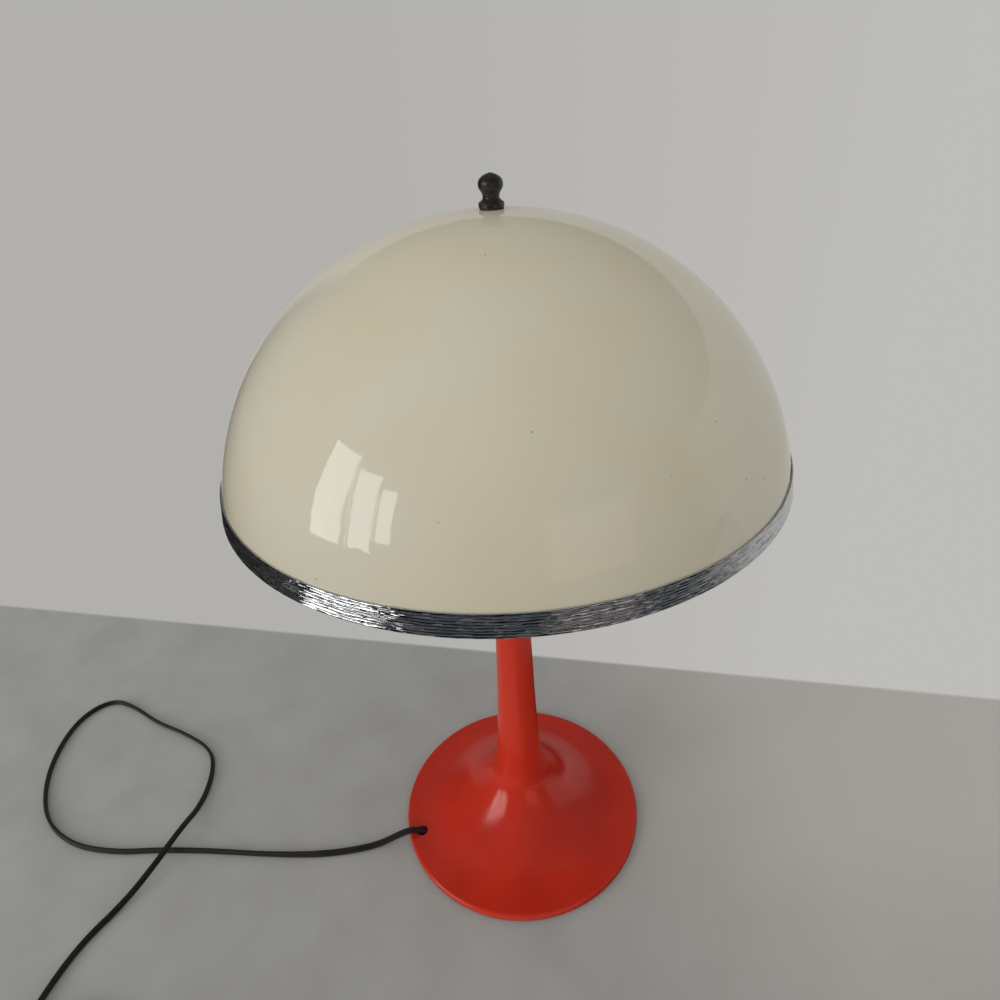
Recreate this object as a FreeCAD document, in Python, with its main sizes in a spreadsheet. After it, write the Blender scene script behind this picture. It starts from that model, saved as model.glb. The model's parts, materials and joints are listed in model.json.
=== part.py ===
import FreeCAD, Part
import math
import os
import Sketcher

# A mushroom table lamp: a trumpet base with its stem in one spun piece, a single bulb holder,
# a wire harp that carries a domed shade, and a ball finial screwed on top.
# Z is up, the origin is on the table under the middle of the base, and all sizes are millimetres.

Vector = FreeCAD.Vector
UP = Vector(0, 0, 1)
document = FreeCAD.newDocument("mushroom_lamp")

driving_sizes = {
    # spun base and stem
    "base_radius": 104.25, "rim_foot": 0.8, "rim_height": 6.2, "rim_round": 2.6,
    "shell_wall": 1.5, "stem_top_radius": 10.2, "stem_height": 312,
    # bottom closure and weight
    "felt_thickness": 1, "felt_margin": 1, "board_thickness": 1,
    "ballast_radius": 62, "ballast_height": 24.2, "recess_radius": 16, "recess_depth": 17.2,
    "channel_width": 8, "channel_height": 4.4,
    # threaded pipe and its nut
    "pipe_radius": 4.85, "pipe_bore": 3.5, "pipe_tail": 2, "pipe_grip": 7,
    "nut_across": 14.3, "nut_height": 4.8, "washer_radius": 8.5, "washer_thickness": 1.2,
    "neck_overhang": 2.5, "neck_height": 4, "spigot_depth": 6,
    # harp
    "strip_thickness": 1.6, "strip_width": 13, "strip_bend": 9, "arm_height": 14,
    "post_reach": 28.5, "post_height": 29, "wire_radius": 2, "harp_rise": 156,
    "harp_leg": 40.6, "harp_spread": 69, "harp_upright": 125, "harp_bulge": 37, "harp_shoulder": 19, "plate_radius": 12, "plate_thickness": 2,
    "stud_radius": 3.175, "stud_height": 14.6,
    "sleeve_wall": 1.5, "sleeve_length": 16, "sleeve_overlap": 8,
    # bulb holder
    "hub_radius": 8, "hub_height": 7.5, "cup_rise": 8, "cup_height": 5, "cup_radius": 17.4,
    "holder_wall": 0.6, "holder_length": 49, "liner_wall": 0.7, "liner_inset": 1.2,
    "core_height": 21, "core_bore": 3.6, "core_bore_depth": 8,
    "thread_shell_wall": 0.8, "thread_shell_height": 24, "contact_radius": 3.5, "contact_height": 4,
    "terminal_radius": 3.2, "terminal_height": 1.8, "terminal_pocket": 3,
    "key_rise": 11, "key_radius": 2.4, "key_depth": 9, "key_length": 17,
    "knob_length": 19, "knob_width": 12, "knob_thickness": 5.5,
    # bulb
    "bulb_screw_radius": 13, "bulb_screw_height": 20, "bulb_pitch": 3.63, "bulb_tip_radius": 4,
    "bulb_tip_height": 1, "bulb_cone_height": 3, "bulb_radius": 30, "bulb_length": 110,
    "bulb_neck_radius": 12.6, "bulb_neck_height": 8, "glass_wall": 0.8, "mount_radius": 4,
    "filament_rise": 46, "filament_reach": 11, "filament_radius": 0.7, "filament_root": 2,
    # shade
    "dome_semi_radius": 175.1, "dome_semi_rise": 167, "dome_wall": 3, "shade_depth": 147.3,
    "boss_radius": 13, "boss_depth": 0.9, "shade_hole_radius": 3.8, "seat_thickness": 1.5,
    # reeded trim round the rim
    "trim_height": 12.3, "trim_lip": 1, "trim_skin": 0.7, "rib_height": 0.42, "trim_return": 4,
    # finial
    "top_washer_radius": 6.6, "top_washer_thickness": 0.9,
    "finial_collar_radius": 7, "finial_collar_height": 2.3, "finial_cove_run": 1.1, "finial_cove_climb": 0.7,
    "finial_neck_radius": 4.55, "finial_neck_rise": 4.9, "finial_ball_radius": 6.8, "finial_ball_rise": 11.3,
    "finial_height": 16.9, "finial_shoulder": 3.4, "finial_crown_run": 3.3, "finial_crown_drop": 0.7,
    "bush_wall": 0.7, "bush_depth": 10.4,
    # flat twin cord
    "cord_width": 5.5, "cord_thickness": 2.8, "cord_hole_radius": 4.7, "cord_hole_inset": 11.35,
    "lead_bend": 6, "lead_turn_inset": 4.5, "mouth_rise": 1.4,
    "coil_radius": 36, "coil_pitch": 6.2, "layer_turns": 1.875,
    # plug
    "relief_length": 20, "relief_radius": 4.6, "plug_length": 30, "plug_width": 22,
    "plug_height": 12, "plug_round": 3, "blade_length": 16, "blade_height": 6.4,
    "blade_thickness": 1.5, "blade_spacing": 12.7,
    # clearances
    "seat_gap": 0.3, "slip_gap": 0.1, "run_gap": 0.08, "trim_gap": 0.15, "contact_gap": 0.1,
}
rib_count = 8            # reeds on the trim
screw_ridges = 5         # thread turns on the bulb's cap
cord_hole_angle = 196.5  # degrees round the base, from +X
lead_climb = 45          # degrees, how steeply the lead leaves through the hole
climb_turns = 0.5        # the coil climbs to its upper layer in this part of a turn

# Heights and radii that follow from the driving sizes, as sums of them.
levels = {
    "board_radius": "base_radius - shell_wall - seat_gap",
    "board_top": "felt_thickness + board_thickness",
    "ballast_top": "board_top + ballast_height",
    "recess_top": "board_top + recess_depth",
    "nut_top": "recess_top - washer_thickness",
    "nut_bottom": "nut_top - nut_height",
    "pipe_bottom": "nut_bottom - pipe_tail",
    "pipe_hole": "pipe_radius + slip_gap",
    "neck_top": "stem_height + neck_height",
    "strip_top": "neck_top + strip_thickness",
    "post_top": "neck_top + post_height",
    "wire_bottom": "post_top + seat_gap",
    "wire_top": "wire_bottom + harp_rise",
    "plate_bottom": "wire_top + wire_radius",
    "plate_top": "plate_bottom + plate_thickness",
    "seat_top": "plate_top + seat_thickness",
    "sleeve_bottom": "post_top - sleeve_overlap",
    "sleeve_bore": "wire_radius + run_gap",
    "pipe_top": "strip_top + pipe_grip",
    "cup_bottom": "strip_top + hub_height",
    "cup_wide": "cup_bottom + cup_rise",
    "cup_top": "cup_wide + cup_height",
    "shell_radius": "cup_radius - holder_wall - slip_gap",
    "shell_bottom": "cup_wide + seat_gap",
    "shell_top": "shell_bottom + holder_length",
    "liner_radius": "shell_radius - holder_wall - slip_gap",
    "liner_bottom": "shell_bottom + liner_inset",
    "liner_top": "shell_top - liner_inset",
    "core_radius": "liner_radius - liner_wall - slip_gap",
    "core_bottom": "liner_bottom",
    "core_top": "core_bottom + core_height",
    "key_height": "core_bottom + key_rise",
    "thread_shell_bore": "bulb_screw_radius + seat_gap",
    "thread_shell_radius": "thread_shell_bore + thread_shell_wall",
    "thread_shell_top": "core_top + thread_shell_height",
    "contact_top": "core_top + contact_height",
    "bulb_bottom": "contact_top + contact_gap",
    "bulb_cone_bottom": "bulb_bottom + bulb_tip_height",
    "bulb_screw_bottom": "bulb_cone_bottom + bulb_cone_height",
    "bulb_screw_top": "bulb_screw_bottom + bulb_screw_height",
    "bulb_top": "bulb_bottom + bulb_length",
    "bulb_middle": "bulb_top - bulb_radius",
    "shade_top": "seat_top + boss_depth + dome_wall",
    "shade_rim": "shade_top - shade_depth",
    "washer_top": "shade_top + top_washer_thickness",
    "finial_neck_height": "washer_top + finial_neck_rise",
    "finial_ball_middle": "washer_top + finial_ball_rise",
    "finial_top": "washer_top + finial_height",
    "stud_top": "plate_top + stud_height",
    "bush_bore": "stud_radius + run_gap",
    "bush_radius": "bush_bore + bush_wall",
    "cord_hole_reach": "base_radius - cord_hole_inset",
    "lead_turn_reach": "cord_hole_reach - lead_turn_inset",
    "mouth_height": "rim_height + mouth_rise",
}

sheet = document.addObject("Spreadsheet::Sheet", "Sizes")
for row, (alias, amount) in enumerate(driving_sizes.items(), start=1):
    sheet.set(f"A{row}", alias.replace("_", " "))
    sheet.set(f"B{row}", str(amount))
    sheet.setAlias(f"B{row}", alias)
document.recompute()


def signed_terms(text):
    """Split a sum such as 'a + b - c' into its names, each with its sign."""
    for term in text.replace("- ", "+ -").split("+"):
        term = term.strip()
        yield (-1 if term.startswith("-") else 1), term.lstrip("-")


def size(text):
    """The amount of a sum of driving sizes and levels, read from the sheet."""
    total = 0.0
    for sign, name in signed_terms(text):
        total += sign * (0 if name == "0" else size(levels[name]) if name in levels else sheet.get(name))
    return total


def formula(text):
    """The same sum as an expression on the sheet's cells."""
    parts = []
    for sign, name in signed_terms(text):
        cell = "(" + formula(levels[name]) + ")" if name in levels else "Sizes." + name
        parts.append(("-" if sign < 0 else "+") + cell)
    return "".join(parts).lstrip("+")


nodes = []


def keep(part, name):
    """List a finished sub-part under the name that its file gets."""
    part.Label = name
    nodes.append(part)
    return part


def feature(name, shape):
    part = document.addObject("Part::Feature", name)
    part.Shape = shape
    return part


def origin_plane(body, role):
    return next(item for item in body.Origin.OriginFeatures if item.Role == role)


def pin(sketch, kind, corner, text):
    """Hold one corner's distance from the sketch's origin at a sum of sizes."""
    if text == "0":
        axis = -2 if kind == "DistanceX" else -1
        sketch.addConstraint(Sketcher.Constraint("PointOnObject", corner, 1, axis))
        return
    number = sketch.addConstraint(Sketcher.Constraint(kind, -1, 1, corner, 1, size(text)))
    sketch.setExpression(f"Constraints[{number}]", formula(text))


def closed_sketch(body, name, role, outline):
    """A closed sketch of straight lines; each corner is a pair of sums."""
    sketch = body.newObject("Sketcher::SketchObject", name)
    sketch.AttachmentSupport = [(origin_plane(body, role), "")]
    sketch.MapMode = "FlatFace"
    corners = [Vector(size(across), size(along), 0) for across, along in outline]
    for number, corner in enumerate(corners):
        sketch.addGeometry(Part.LineSegment(corner, corners[(number + 1) % len(corners)]))
    for number in range(len(corners)):
        following = (number + 1) % len(corners)
        sketch.addConstraint(Sketcher.Constraint("Coincident", number, 2, following, 1))
    for number, (across, along) in enumerate(outline):
        pin(sketch, "DistanceX", number, across)
        pin(sketch, "DistanceY", number, along)
    return sketch


def turned(name, outline):
    """A body turned about Z from corners given as (radius, height)."""
    body = document.addObject("PartDesign::Body", name)
    sketch = closed_sketch(body, name + "_outline", "XZ_Plane", outline)
    turning = body.newObject("PartDesign::Revolution", name + "_turning")
    turning.Profile = sketch
    turning.ReferenceAxis = (sketch, ["V_Axis"])
    turning.Angle = 360
    return body


def ring(name, inner, outer, bottom, top):
    return turned(name, [(inner, bottom), (outer, bottom), (outer, top), (inner, top)])


def rod(name, radius, length, position, direction=UP):
    """A round bar whose radius and length are sums of sizes."""
    bar = document.addObject("Part::Cylinder", name)
    bar.setExpression("Radius", formula(radius))
    bar.setExpression("Height", formula(length))
    bar.Placement = FreeCAD.Placement(position, FreeCAD.Rotation(UP, direction))
    return bar


def joined(kind, name, base, tool):
    result = document.addObject("Part::" + kind, name)
    result.Base = base
    result.Tool = tool
    return result


def line(start, end):
    return Part.LineSegment(start, end).toShape()


def arc(start, middle, end):
    return Part.Arc(start, middle, end).toShape()


def at(radius, height):
    """A point in the upright plane that turned outlines are drawn in."""
    return Vector(radius, 0, height)


def revolved(edges):
    face = Part.Face(Part.Wire(Part.__sortEdges__(edges)))
    return face.revolve(Vector(0, 0, 0), UP, 360)


# ---- Spun base and stem ----
# Points of the flare as shares of the way out from the stem's top to the rim, and of its rise.
flare_shares = ((0.8507, 0.0021), (0.6758, 0.0147), (0.5227, 0.037), (0.3915, 0.0634), (0.2931, 0.0909),
                (0.2056, 0.1236), (0.1465, 0.153), (0.1083, 0.2005), (0.0864, 0.274), (0.0607, 0.4147),
                (0.0383, 0.6403))


def flare_curve(inset=0.0):
    """The flare's outline from the rim to the stem's top, moved inward by a wall."""
    rim = size("base_radius - rim_round")
    tip = size("stem_top_radius")
    foot = size("rim_height")
    rise = size("stem_height") - foot
    points = [at(rim, foot)]
    points += [at(tip + out * (rim - tip), foot + up * rise) for out, up in flare_shares]
    points.append(at(tip, foot + rise))
    curve = Part.BSplineCurve()
    curve.interpolate(Points=points, InitialTangent=Vector(-1, 0, 0.02), FinalTangent=Vector(-0.02, 0, 1),
                      Scale=False)
    if inset == 0:
        return curve
    samples = 40
    moved = []
    for number in range(samples + 1):
        share = curve.FirstParameter + (curve.LastParameter - curve.FirstParameter) * number / samples
        along = curve.tangent(share)[0]
        moved.append(curve.value(share) + Vector(-along.z, 0, along.x) * inset)
    offset = Part.BSplineCurve()
    offset.interpolate(Points=moved)
    return offset


def lead_direction():
    return FreeCAD.Rotation(UP, cord_hole_angle - 180)


def build_base_shell():
    wall = size("shell_wall")
    outer = flare_curve()
    inner = flare_curve(wall)
    rim = size("base_radius")
    corner = rim - size("rim_round")
    shoulder = size("rim_height") - size("rim_round")
    foot = size("rim_foot")
    half = math.sqrt(0.5)
    outer_turn = size("rim_round")
    inner_turn = outer_turn - wall
    inner_start = inner.value(inner.FirstParameter)
    edges = [
        line(at(rim - wall, foot), at(rim, foot)),
        line(at(rim, foot), at(rim, shoulder)),
        arc(at(rim, shoulder), at(corner + outer_turn * half, shoulder + outer_turn * half),
            at(corner, shoulder + outer_turn)),
        outer.toShape(),
        line(outer.value(outer.LastParameter), inner.value(inner.LastParameter)),
        inner.toShape(),
        arc(at(rim - wall, shoulder),
            at(corner + inner_turn * half, shoulder + inner_turn * half), inner_start),
        line(at(rim - wall, shoulder), at(rim - wall, foot)),
    ]
    shell = revolved(edges)
    hole = Part.makeCylinder(size("cord_hole_radius"), 2 * size("rim_height"))
    hole.translate(Vector(-size("cord_hole_reach"), 0, size("board_top")))
    hole.rotate(Vector(0, 0, 0), UP, cord_hole_angle - 180)
    return feature("base_shell", shell.cut(hole))


def build_ballast():
    """A cast weight that fills the space under the flare, down to the bottom board."""
    under = flare_curve(size("shell_wall + seat_gap"))
    bottom = size("board_top")
    foot = under.value(under.FirstParameter)
    head = under.value(under.LastParameter)
    profile = [
        line(at(0, bottom), at(foot.x, bottom)),
        line(at(foot.x, bottom), foot),
        under.toShape(),
        line(head, at(0, head.z)),
        line(at(0, head.z), at(0, bottom)),
    ]
    casting = revolved(profile).common(
        Part.makeCylinder(size("ballast_radius"), size("ballast_height"), Vector(0, 0, bottom)))
    casting = casting.cut(Part.makeCylinder(size("pipe_hole"), size("ballast_top")))
    casting = casting.cut(Part.makeCylinder(size("recess_radius"), size("recess_top")))
    channel = Part.makeBox(2 * size("ballast_radius"), size("channel_width"), size("channel_height"))
    channel.translate(Vector(-2 * size("ballast_radius"), -size("channel_width") / 2, bottom))
    channel.rotate(Vector(0, 0, 0), UP, cord_hole_angle - 180)
    return feature("ballast", casting.cut(channel))


keep(build_base_shell(), "base_shell")
keep(build_ballast(), "base_weight")
keep(ring("felt", "0", "board_radius - felt_margin", "0", "felt_thickness"), "base_felt")
keep(ring("board", "0", "board_radius", "felt_thickness", "board_top"), "base_board")


# ---- Threaded pipe that clamps the stem ----
def build_pipe_nut():
    hexagon = document.addObject("Part::Prism", "nut_hexagon")
    hexagon.Polygon = 6
    hexagon.setExpression("Circumradius", "Sizes.nut_across / sqrt(3)")
    hexagon.setExpression("Height", formula("nut_height"))
    hexagon.Placement = FreeCAD.Placement(at(0, size("nut_bottom")), FreeCAD.Rotation())
    bore = rod("nut_bore", "pipe_hole", "nut_height", at(0, size("nut_bottom")))
    return joined("Cut", "nut", hexagon, bore)


keep(ring("pipe", "pipe_bore", "pipe_radius", "pipe_bottom", "pipe_top"), "threaded_pipe")
keep(build_pipe_nut(), "pipe_nut")
keep(ring("lock_washer", "pipe_hole", "washer_radius", "nut_top", "recess_top"), "pipe_washer")
keep(turned("neck", [
    ("pipe_hole", "stem_height - spigot_depth"),
    ("stem_top_radius - shell_wall - seat_gap", "stem_height - spigot_depth"),
    ("stem_top_radius - shell_wall - seat_gap", "stem_height"),
    ("stem_top_radius + neck_overhang", "stem_height"),
    ("stem_top_radius + neck_overhang", "neck_top"),
    ("pipe_hole", "neck_top"),
]), "neck_cap")


# ---- Harp: saddle, wire, sleeves, seat plate and stud ----
def tangent_arc(start, corner, end):
    """The arc that leaves start and reaches end along the two lines to the corner."""
    reach = (start - corner).Length
    middle = (start + end) * 0.5 - corner
    half_angle = math.asin(min(1.0, (start - end).Length / (2 * reach)))
    radius = reach * math.tan(half_angle)
    inward = reach / math.cos(half_angle) - radius
    middle.normalize()
    return arc(start, corner + middle * inward, end), radius


def rounded_path(points, share=0.45):
    """Straight runs joined by tangent arcs; gives the wire and the arcs' radii."""
    edges = []
    radii = []
    last = points[0]
    for before, corner, after in zip(points, points[1:], points[2:]):
        reach = share * min((corner - before).Length, (after - corner).Length)
        start = corner + (before - corner).normalize() * reach
        end = corner + (after - corner).normalize() * reach
        edges.append(line(last, start))
        bend, radius = tangent_arc(start, corner, end)
        edges.append(bend)
        radii.append(radius)
        last = end
    edges.append(line(last, points[-1]))
    return Part.Wire(edges), radii


def tube_along(wire, radius):
    start = wire.Edges[0]
    heading = start.tangentAt(start.FirstParameter)
    section = Part.Wire(Part.makeCircle(radius, start.valueAt(start.FirstParameter), heading))
    return wire.makePipeShell([section], True, False)


def build_saddle():
    """A flat strip bent up at both ends, each end drawn out into a round post."""
    reach = size("post_reach")
    half = size("strip_thickness") / 2
    bend = size("strip_bend")
    middle_height = size("neck_top") + half
    arm_top = size("neck_top + arm_height")
    side = math.sqrt(0.5)
    strip = None
    for sign in (-1, 1):
        outline = []
        for radius, edge in ((bend + half, reach + half), (bend - half, reach - half)):
            flat = middle_height - (radius - bend)
            turn = at(sign * (reach - bend), middle_height + bend)
            outline.append([
                line(at(0, flat), at(sign * (reach - bend), flat)),
                arc(at(sign * (reach - bend), flat),
                    turn + at(sign * radius * side, -radius * side),
                    at(sign * edge, middle_height + bend)),
                line(at(sign * edge, middle_height + bend), at(sign * edge, arm_top)),
            ])
        ends = [line(at(0, middle_height - half), at(0, middle_height + half)),
                line(at(sign * (reach + half), arm_top), at(sign * (reach - half), arm_top))]
        face = Part.Face(Part.Wire(Part.__sortEdges__(outline[0] + outline[1] + ends)))
        face.translate(Vector(0, -size("strip_width") / 2, 0))
        arm = face.extrude(Vector(0, size("strip_width"), 0))
        post = Part.makeCylinder(size("wire_radius"), size("post_top") - arm_top + bend / 2,
                                 at(sign * reach, arm_top - bend / 2))
        arm = arm.fuse(post)
        strip = arm if strip is None else strip.fuse(arm)
    return strip.cut(Part.makeCylinder(size("pipe_hole"), 2 * size("strip_thickness"),
                                       at(0, size("neck_top - strip_thickness")))).removeSplitter()


def build_harp_wire():
    leg = size("post_reach")
    bulge = size("harp_bulge")
    foot = size("wire_bottom")
    top = size("wire_top")
    half_loop = [at(leg, foot), at(leg, foot + size("harp_leg")), at(bulge, foot + size("harp_spread")),
                 at(bulge, foot + size("harp_upright")), at(size("harp_shoulder"), top)]
    loop = half_loop + [at(-point.x, point.z) for point in reversed(half_loop)]
    path, radii = rounded_path(loop)
    print("harp wire: least bend radius %.1f mm" % min(radii))
    return tube_along(path, size("wire_radius"))


keep(feature("saddle", build_saddle()), "harp_saddle")
keep(feature("harp", build_harp_wire()), "harp_wire")
keep(ring("plate", "stud_radius", "plate_radius", "plate_bottom", "plate_top"), "harp_plate")
keep(ring("stud", "0", "stud_radius", "plate_bottom", "stud_top"), "harp_stud")
keep(ring("seat", "stud_radius + slip_gap", "plate_radius", "plate_top", "seat_top"), "seat_washer")
for side_name, side_sign in (("left", -1), ("right", 1)):
    sleeve_place = at(side_sign * size("post_reach"), size("sleeve_bottom"))
    sleeve = joined("Cut", "sleeve_" + side_name,
                    rod("sleeve_bar_" + side_name, "sleeve_bore + sleeve_wall", "sleeve_length", sleeve_place),
                    rod("sleeve_hole_" + side_name, "sleeve_bore", "sleeve_length", sleeve_place))
    keep(sleeve, "harp_sleeve_" + side_name)


# ---- Bulb holder with its turn key ----
FRONT = Vector(0, -1, 0)


def key_rod(name, radius, length, start):
    """A bar along the key's axis, from a distance in front of the lamp's axis."""
    return rod(name, radius, length, Vector(0, -start, size("key_height")), FRONT)


keep(turned("cap", [
    ("pipe_hole", "strip_top"),
    ("hub_radius", "strip_top"),
    ("hub_radius", "cup_bottom"),
    ("cup_radius", "cup_wide"),
    ("cup_radius", "cup_top"),
    ("cup_radius - holder_wall", "cup_top"),
    ("cup_radius - holder_wall", "cup_wide"),
    ("hub_radius", "cup_bottom + holder_wall"),
    ("pipe_hole", "cup_bottom + holder_wall"),
]), "holder_cap")
shell_tube = ring("shell_tube", "shell_radius - holder_wall", "shell_radius", "shell_bottom", "shell_top")
keep(joined("Cut", "shell_holed", shell_tube,
            key_rod("shell_slot", "key_radius + seat_gap", "cup_radius", 0)), "holder_shell")
liner_tube = ring("liner_tube", "liner_radius - liner_wall", "liner_radius", "liner_bottom", "liner_top")
keep(joined("Cut", "liner_holed", liner_tube,
            key_rod("liner_slot", "key_radius + seat_gap", "cup_radius", 0)), "holder_liner")


def build_core():
    """The moulded core, bored for the lead and the key, with a pocket for each terminal."""
    core = Part.makeCylinder(size("core_radius"), size("core_height"), at(0, size("core_bottom")))
    core = core.cut(Part.makeCylinder(size("core_bore"), size("core_bore_depth"),
                                      at(0, size("core_bottom"))))
    core = core.cut(Part.makeCylinder(size("key_radius + run_gap"), size("cup_radius"),
                                      Vector(0, -size("core_radius - key_depth"), size("key_height")), FRONT))
    for sign in (-1, 1):
        pocket = Part.makeCylinder(size("terminal_radius + seat_gap"), size("terminal_pocket"),
                                   at(sign * size("core_radius"), size("key_height")), Vector(-sign, 0, 0))
        core = core.cut(pocket)
    return core


keep(feature("core", build_core()), "holder_core")
terminals = []
for side_name, side_sign in (("left", -1), ("right", 1)):
    inward = Vector(side_sign, 0, 0)
    place = at(side_sign * size("core_radius - terminal_pocket"), size("key_height"))
    terminals.append(rod("terminal_" + side_name, "terminal_radius", "terminal_height", place, inward))
keep(joined("Fuse", "terminal_pair", *terminals), "terminal_screws")
keep(ring("thread_shell", "thread_shell_bore", "thread_shell_radius", "core_top", "thread_shell_top"),
     "holder_thread")
keep(ring("contact", "0", "contact_radius", "core_top", "contact_top"), "centre_contact")
keep(key_rod("key_bar", "key_radius", "key_depth + key_length", size("core_radius - key_depth")), "key_shaft")


def build_knob():
    """A flat moulded key with rounded edges, bored for its shaft."""
    length = size("knob_length")
    width = size("knob_width")
    thickness = size("knob_thickness")
    start = size("core_radius") + size("key_length") - length / 2
    block = Part.makeBox(thickness, length, width)
    block.translate(Vector(-thickness / 2, -start - length, size("key_height") - width / 2))
    block = block.makeFillet(0.3 * thickness, block.Edges)
    bore = Part.makeCylinder(size("key_radius"), length / 2, Vector(0, -start, size("key_height")), FRONT)
    return block.cut(bore)


keep(feature("knob", build_knob()), "key_knob")


# ---- Bulb ----
def build_bulb_cap():
    """A pressed screw cap: a thin cup with rounded thread ridges."""
    radius = size("bulb_screw_radius")
    wall = size("holder_wall")
    bottom = size("bulb_screw_bottom")
    top = size("bulb_screw_top")
    pitch = size("bulb_pitch")
    root = radius - 0.3 * pitch
    edges = [line(at(root - wall, top), at(root - wall, bottom)), line(at(root - wall, bottom), at(root, bottom))]
    height = bottom
    for _ in range(screw_ridges):
        edges.append(arc(at(root, height), at(radius, height + pitch / 2), at(root, height + pitch)))
        height += pitch
    edges += [line(at(root, height), at(root, top)), line(at(root, top), at(root - wall, top))]
    return revolved(edges)


def build_bulb_glass():
    """A blown envelope: a ball that runs down into a neck, open where the cap is cemented on."""
    def envelope(inset):
        ball = size("bulb_radius") - inset
        middle = size("bulb_middle")
        neck = size("bulb_neck_radius") - inset
        neck_top = size("bulb_screw_top + bulb_neck_height")
        leave = math.radians(-32)
        side = at(ball * math.cos(leave), middle + ball * math.sin(leave))
        halfway = math.radians(29)
        waist = Part.BSplineCurve()
        waist.interpolate(Points=[side, at(neck, neck_top)],
                          InitialTangent=Vector(math.sin(leave), 0, -math.cos(leave)),
                          FinalTangent=Vector(0, 0, -1))
        return [arc(at(0, middle + ball), at(ball * math.cos(halfway), middle + ball * math.sin(halfway)), side),
                waist.toShape(),
                line(at(neck, neck_top), at(neck, size("bulb_screw_top + slip_gap")))]
    wall = size("glass_wall")
    outer = envelope(0)
    inner = envelope(wall)
    bottom = size("bulb_screw_top + slip_gap")
    neck = size("bulb_neck_radius")
    top = size("bulb_top")
    ends = [line(at(neck, bottom), at(neck - wall, bottom)), line(at(0, top), at(0, top - wall))]
    return revolved(outer + inner + ends)


def build_filament():
    """The glass mount with its two support wires and the filament across them."""
    foot = size("bulb_screw_bottom")
    crown = foot + size("filament_rise")
    reach = size("filament_reach")
    thin = size("filament_radius")
    mount = Part.makeCylinder(size("mount_radius"), size("filament_rise") / 2, at(0, foot))
    pieces = []
    for sign in (-1, 1):
        lower = at(sign * size("mount_radius") / 2,
                   foot + size("filament_rise") / 2 - size("filament_root"))
        upper = at(sign * reach, crown)
        pieces.append(Part.makeCylinder(thin, (upper - lower).Length, lower, upper - lower))
    pieces.append(Part.makeCylinder(thin, 2 * reach, at(-reach, crown), Vector(1, 0, 0)))
    return mount.multiFuse(pieces)


keep(turned("bulb_tip", [
    ("0", "bulb_bottom"),
    ("bulb_tip_radius", "bulb_bottom"),
    ("bulb_tip_radius", "bulb_cone_bottom"),
    ("0", "bulb_cone_bottom"),
]), "bulb_contact")
keep(turned("bulb_cone", [
    ("0", "bulb_cone_bottom"),
    ("bulb_tip_radius", "bulb_cone_bottom"),
    ("bulb_screw_radius - bulb_pitch", "bulb_screw_bottom"),
    ("0", "bulb_screw_bottom"),
]), "bulb_insulator")
keep(feature("bulb_screw", build_bulb_cap()), "bulb_cap")
keep(feature("bulb_envelope", build_bulb_glass()), "bulb_glass")
keep(feature("bulb_mount", build_filament()), "bulb_filament")


# ---- Shade and its reeded trim ----
def dome_radius(height, inset=0.0):
    """The dome's radius at a height, as its ellipse gives it."""
    rise = size("dome_semi_rise") - inset
    centre = size("shade_top") - size("dome_semi_rise")
    return (size("dome_semi_radius") - inset) * math.sqrt(1 - ((height - centre) / rise) ** 2)


def dome_height(radius, inset=0.0):
    """The dome's height at a radius."""
    rise = size("dome_semi_rise") - inset
    centre = size("shade_top") - size("dome_semi_rise")
    return centre + rise * math.sqrt(1 - (radius / (size("dome_semi_radius") - inset)) ** 2)


def dome_edge(low, high, inset=0.0):
    """A stretch of the dome's ellipse between two points on it."""
    centre = at(0, size("shade_top") - size("dome_semi_rise"))
    side = centre + at(size("dome_semi_radius") - inset, 0)
    crown = centre + at(0, size("dome_semi_rise") - inset)
    shorter, longer = sorted((side, crown), key=lambda point: (centre - point).Length)
    ellipse = Part.Ellipse(longer, shorter, centre)
    shares = [ellipse.parameter(point) for point in (low, high)]
    shares = [share - 2 * math.pi if share > math.pi else share for share in shares]
    return Part.ArcOfEllipse(ellipse, min(shares), max(shares)).toShape()


def build_dome():
    wall = size("dome_wall")
    rim = size("shade_rim")
    hole = size("shade_hole_radius")
    boss = size("boss_radius")
    seat = size("seat_top")
    outer_rim = at(dome_radius(rim), rim)
    inner_rim = at(dome_radius(rim, wall), rim)
    hole_edge = at(hole, dome_height(hole))
    boss_edge = at(boss, dome_height(boss, wall))
    edges = [
        line(inner_rim, outer_rim),
        dome_edge(outer_rim, hole_edge),
        line(hole_edge, at(hole, seat)),
        line(at(hole, seat), at(boss, seat)),
        line(at(boss, seat), boss_edge),
        dome_edge(inner_rim, boss_edge, wall),
    ]
    return revolved(edges)


def build_trim():
    """A channel pressed over the rim, reeded outside, with a short return inside."""
    rim = size("shade_rim")
    gap = size("trim_gap")
    skin = size("trim_skin")
    bottom = rim - size("trim_lip")
    top = bottom + size("trim_height")
    inside_top = rim + size("trim_return")
    groove_floor = rim - gap
    back_low = dome_radius(rim) + gap
    back_high = dome_radius(top) + gap
    inner_face = dome_radius(inside_top, size("dome_wall")) - gap
    low = at(back_low + skin, bottom)
    high = at(back_high + skin, top)
    step = (high - low) * (1 / rib_count)
    outward = Vector(step.z, 0, -step.x).normalize() * size("rib_height")
    edges = [arc(low + step * number, low + step * (number + 0.5) + outward, low + step * (number + 1))
             for number in range(rib_count)]
    corners = [high, at(back_high, top), at(back_low, groove_floor), at(inner_face, groove_floor),
               at(inner_face, inside_top), at(inner_face - skin, inside_top), at(inner_face - skin, bottom), low]
    edges += [line(start, end) for start, end in zip(corners, corners[1:])]
    return revolved(edges)


keep(feature("dome", build_dome()), "shade_dome")
keep(feature("trim", build_trim()), "shade_trim")


# ---- Finial ----
def swept(*poles):
    """A smooth edge that leaves its first point towards the second and reaches the last from the one before."""
    curve = Part.BezierCurve()
    curve.setPoles(list(poles))
    return curve.toShape()


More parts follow.
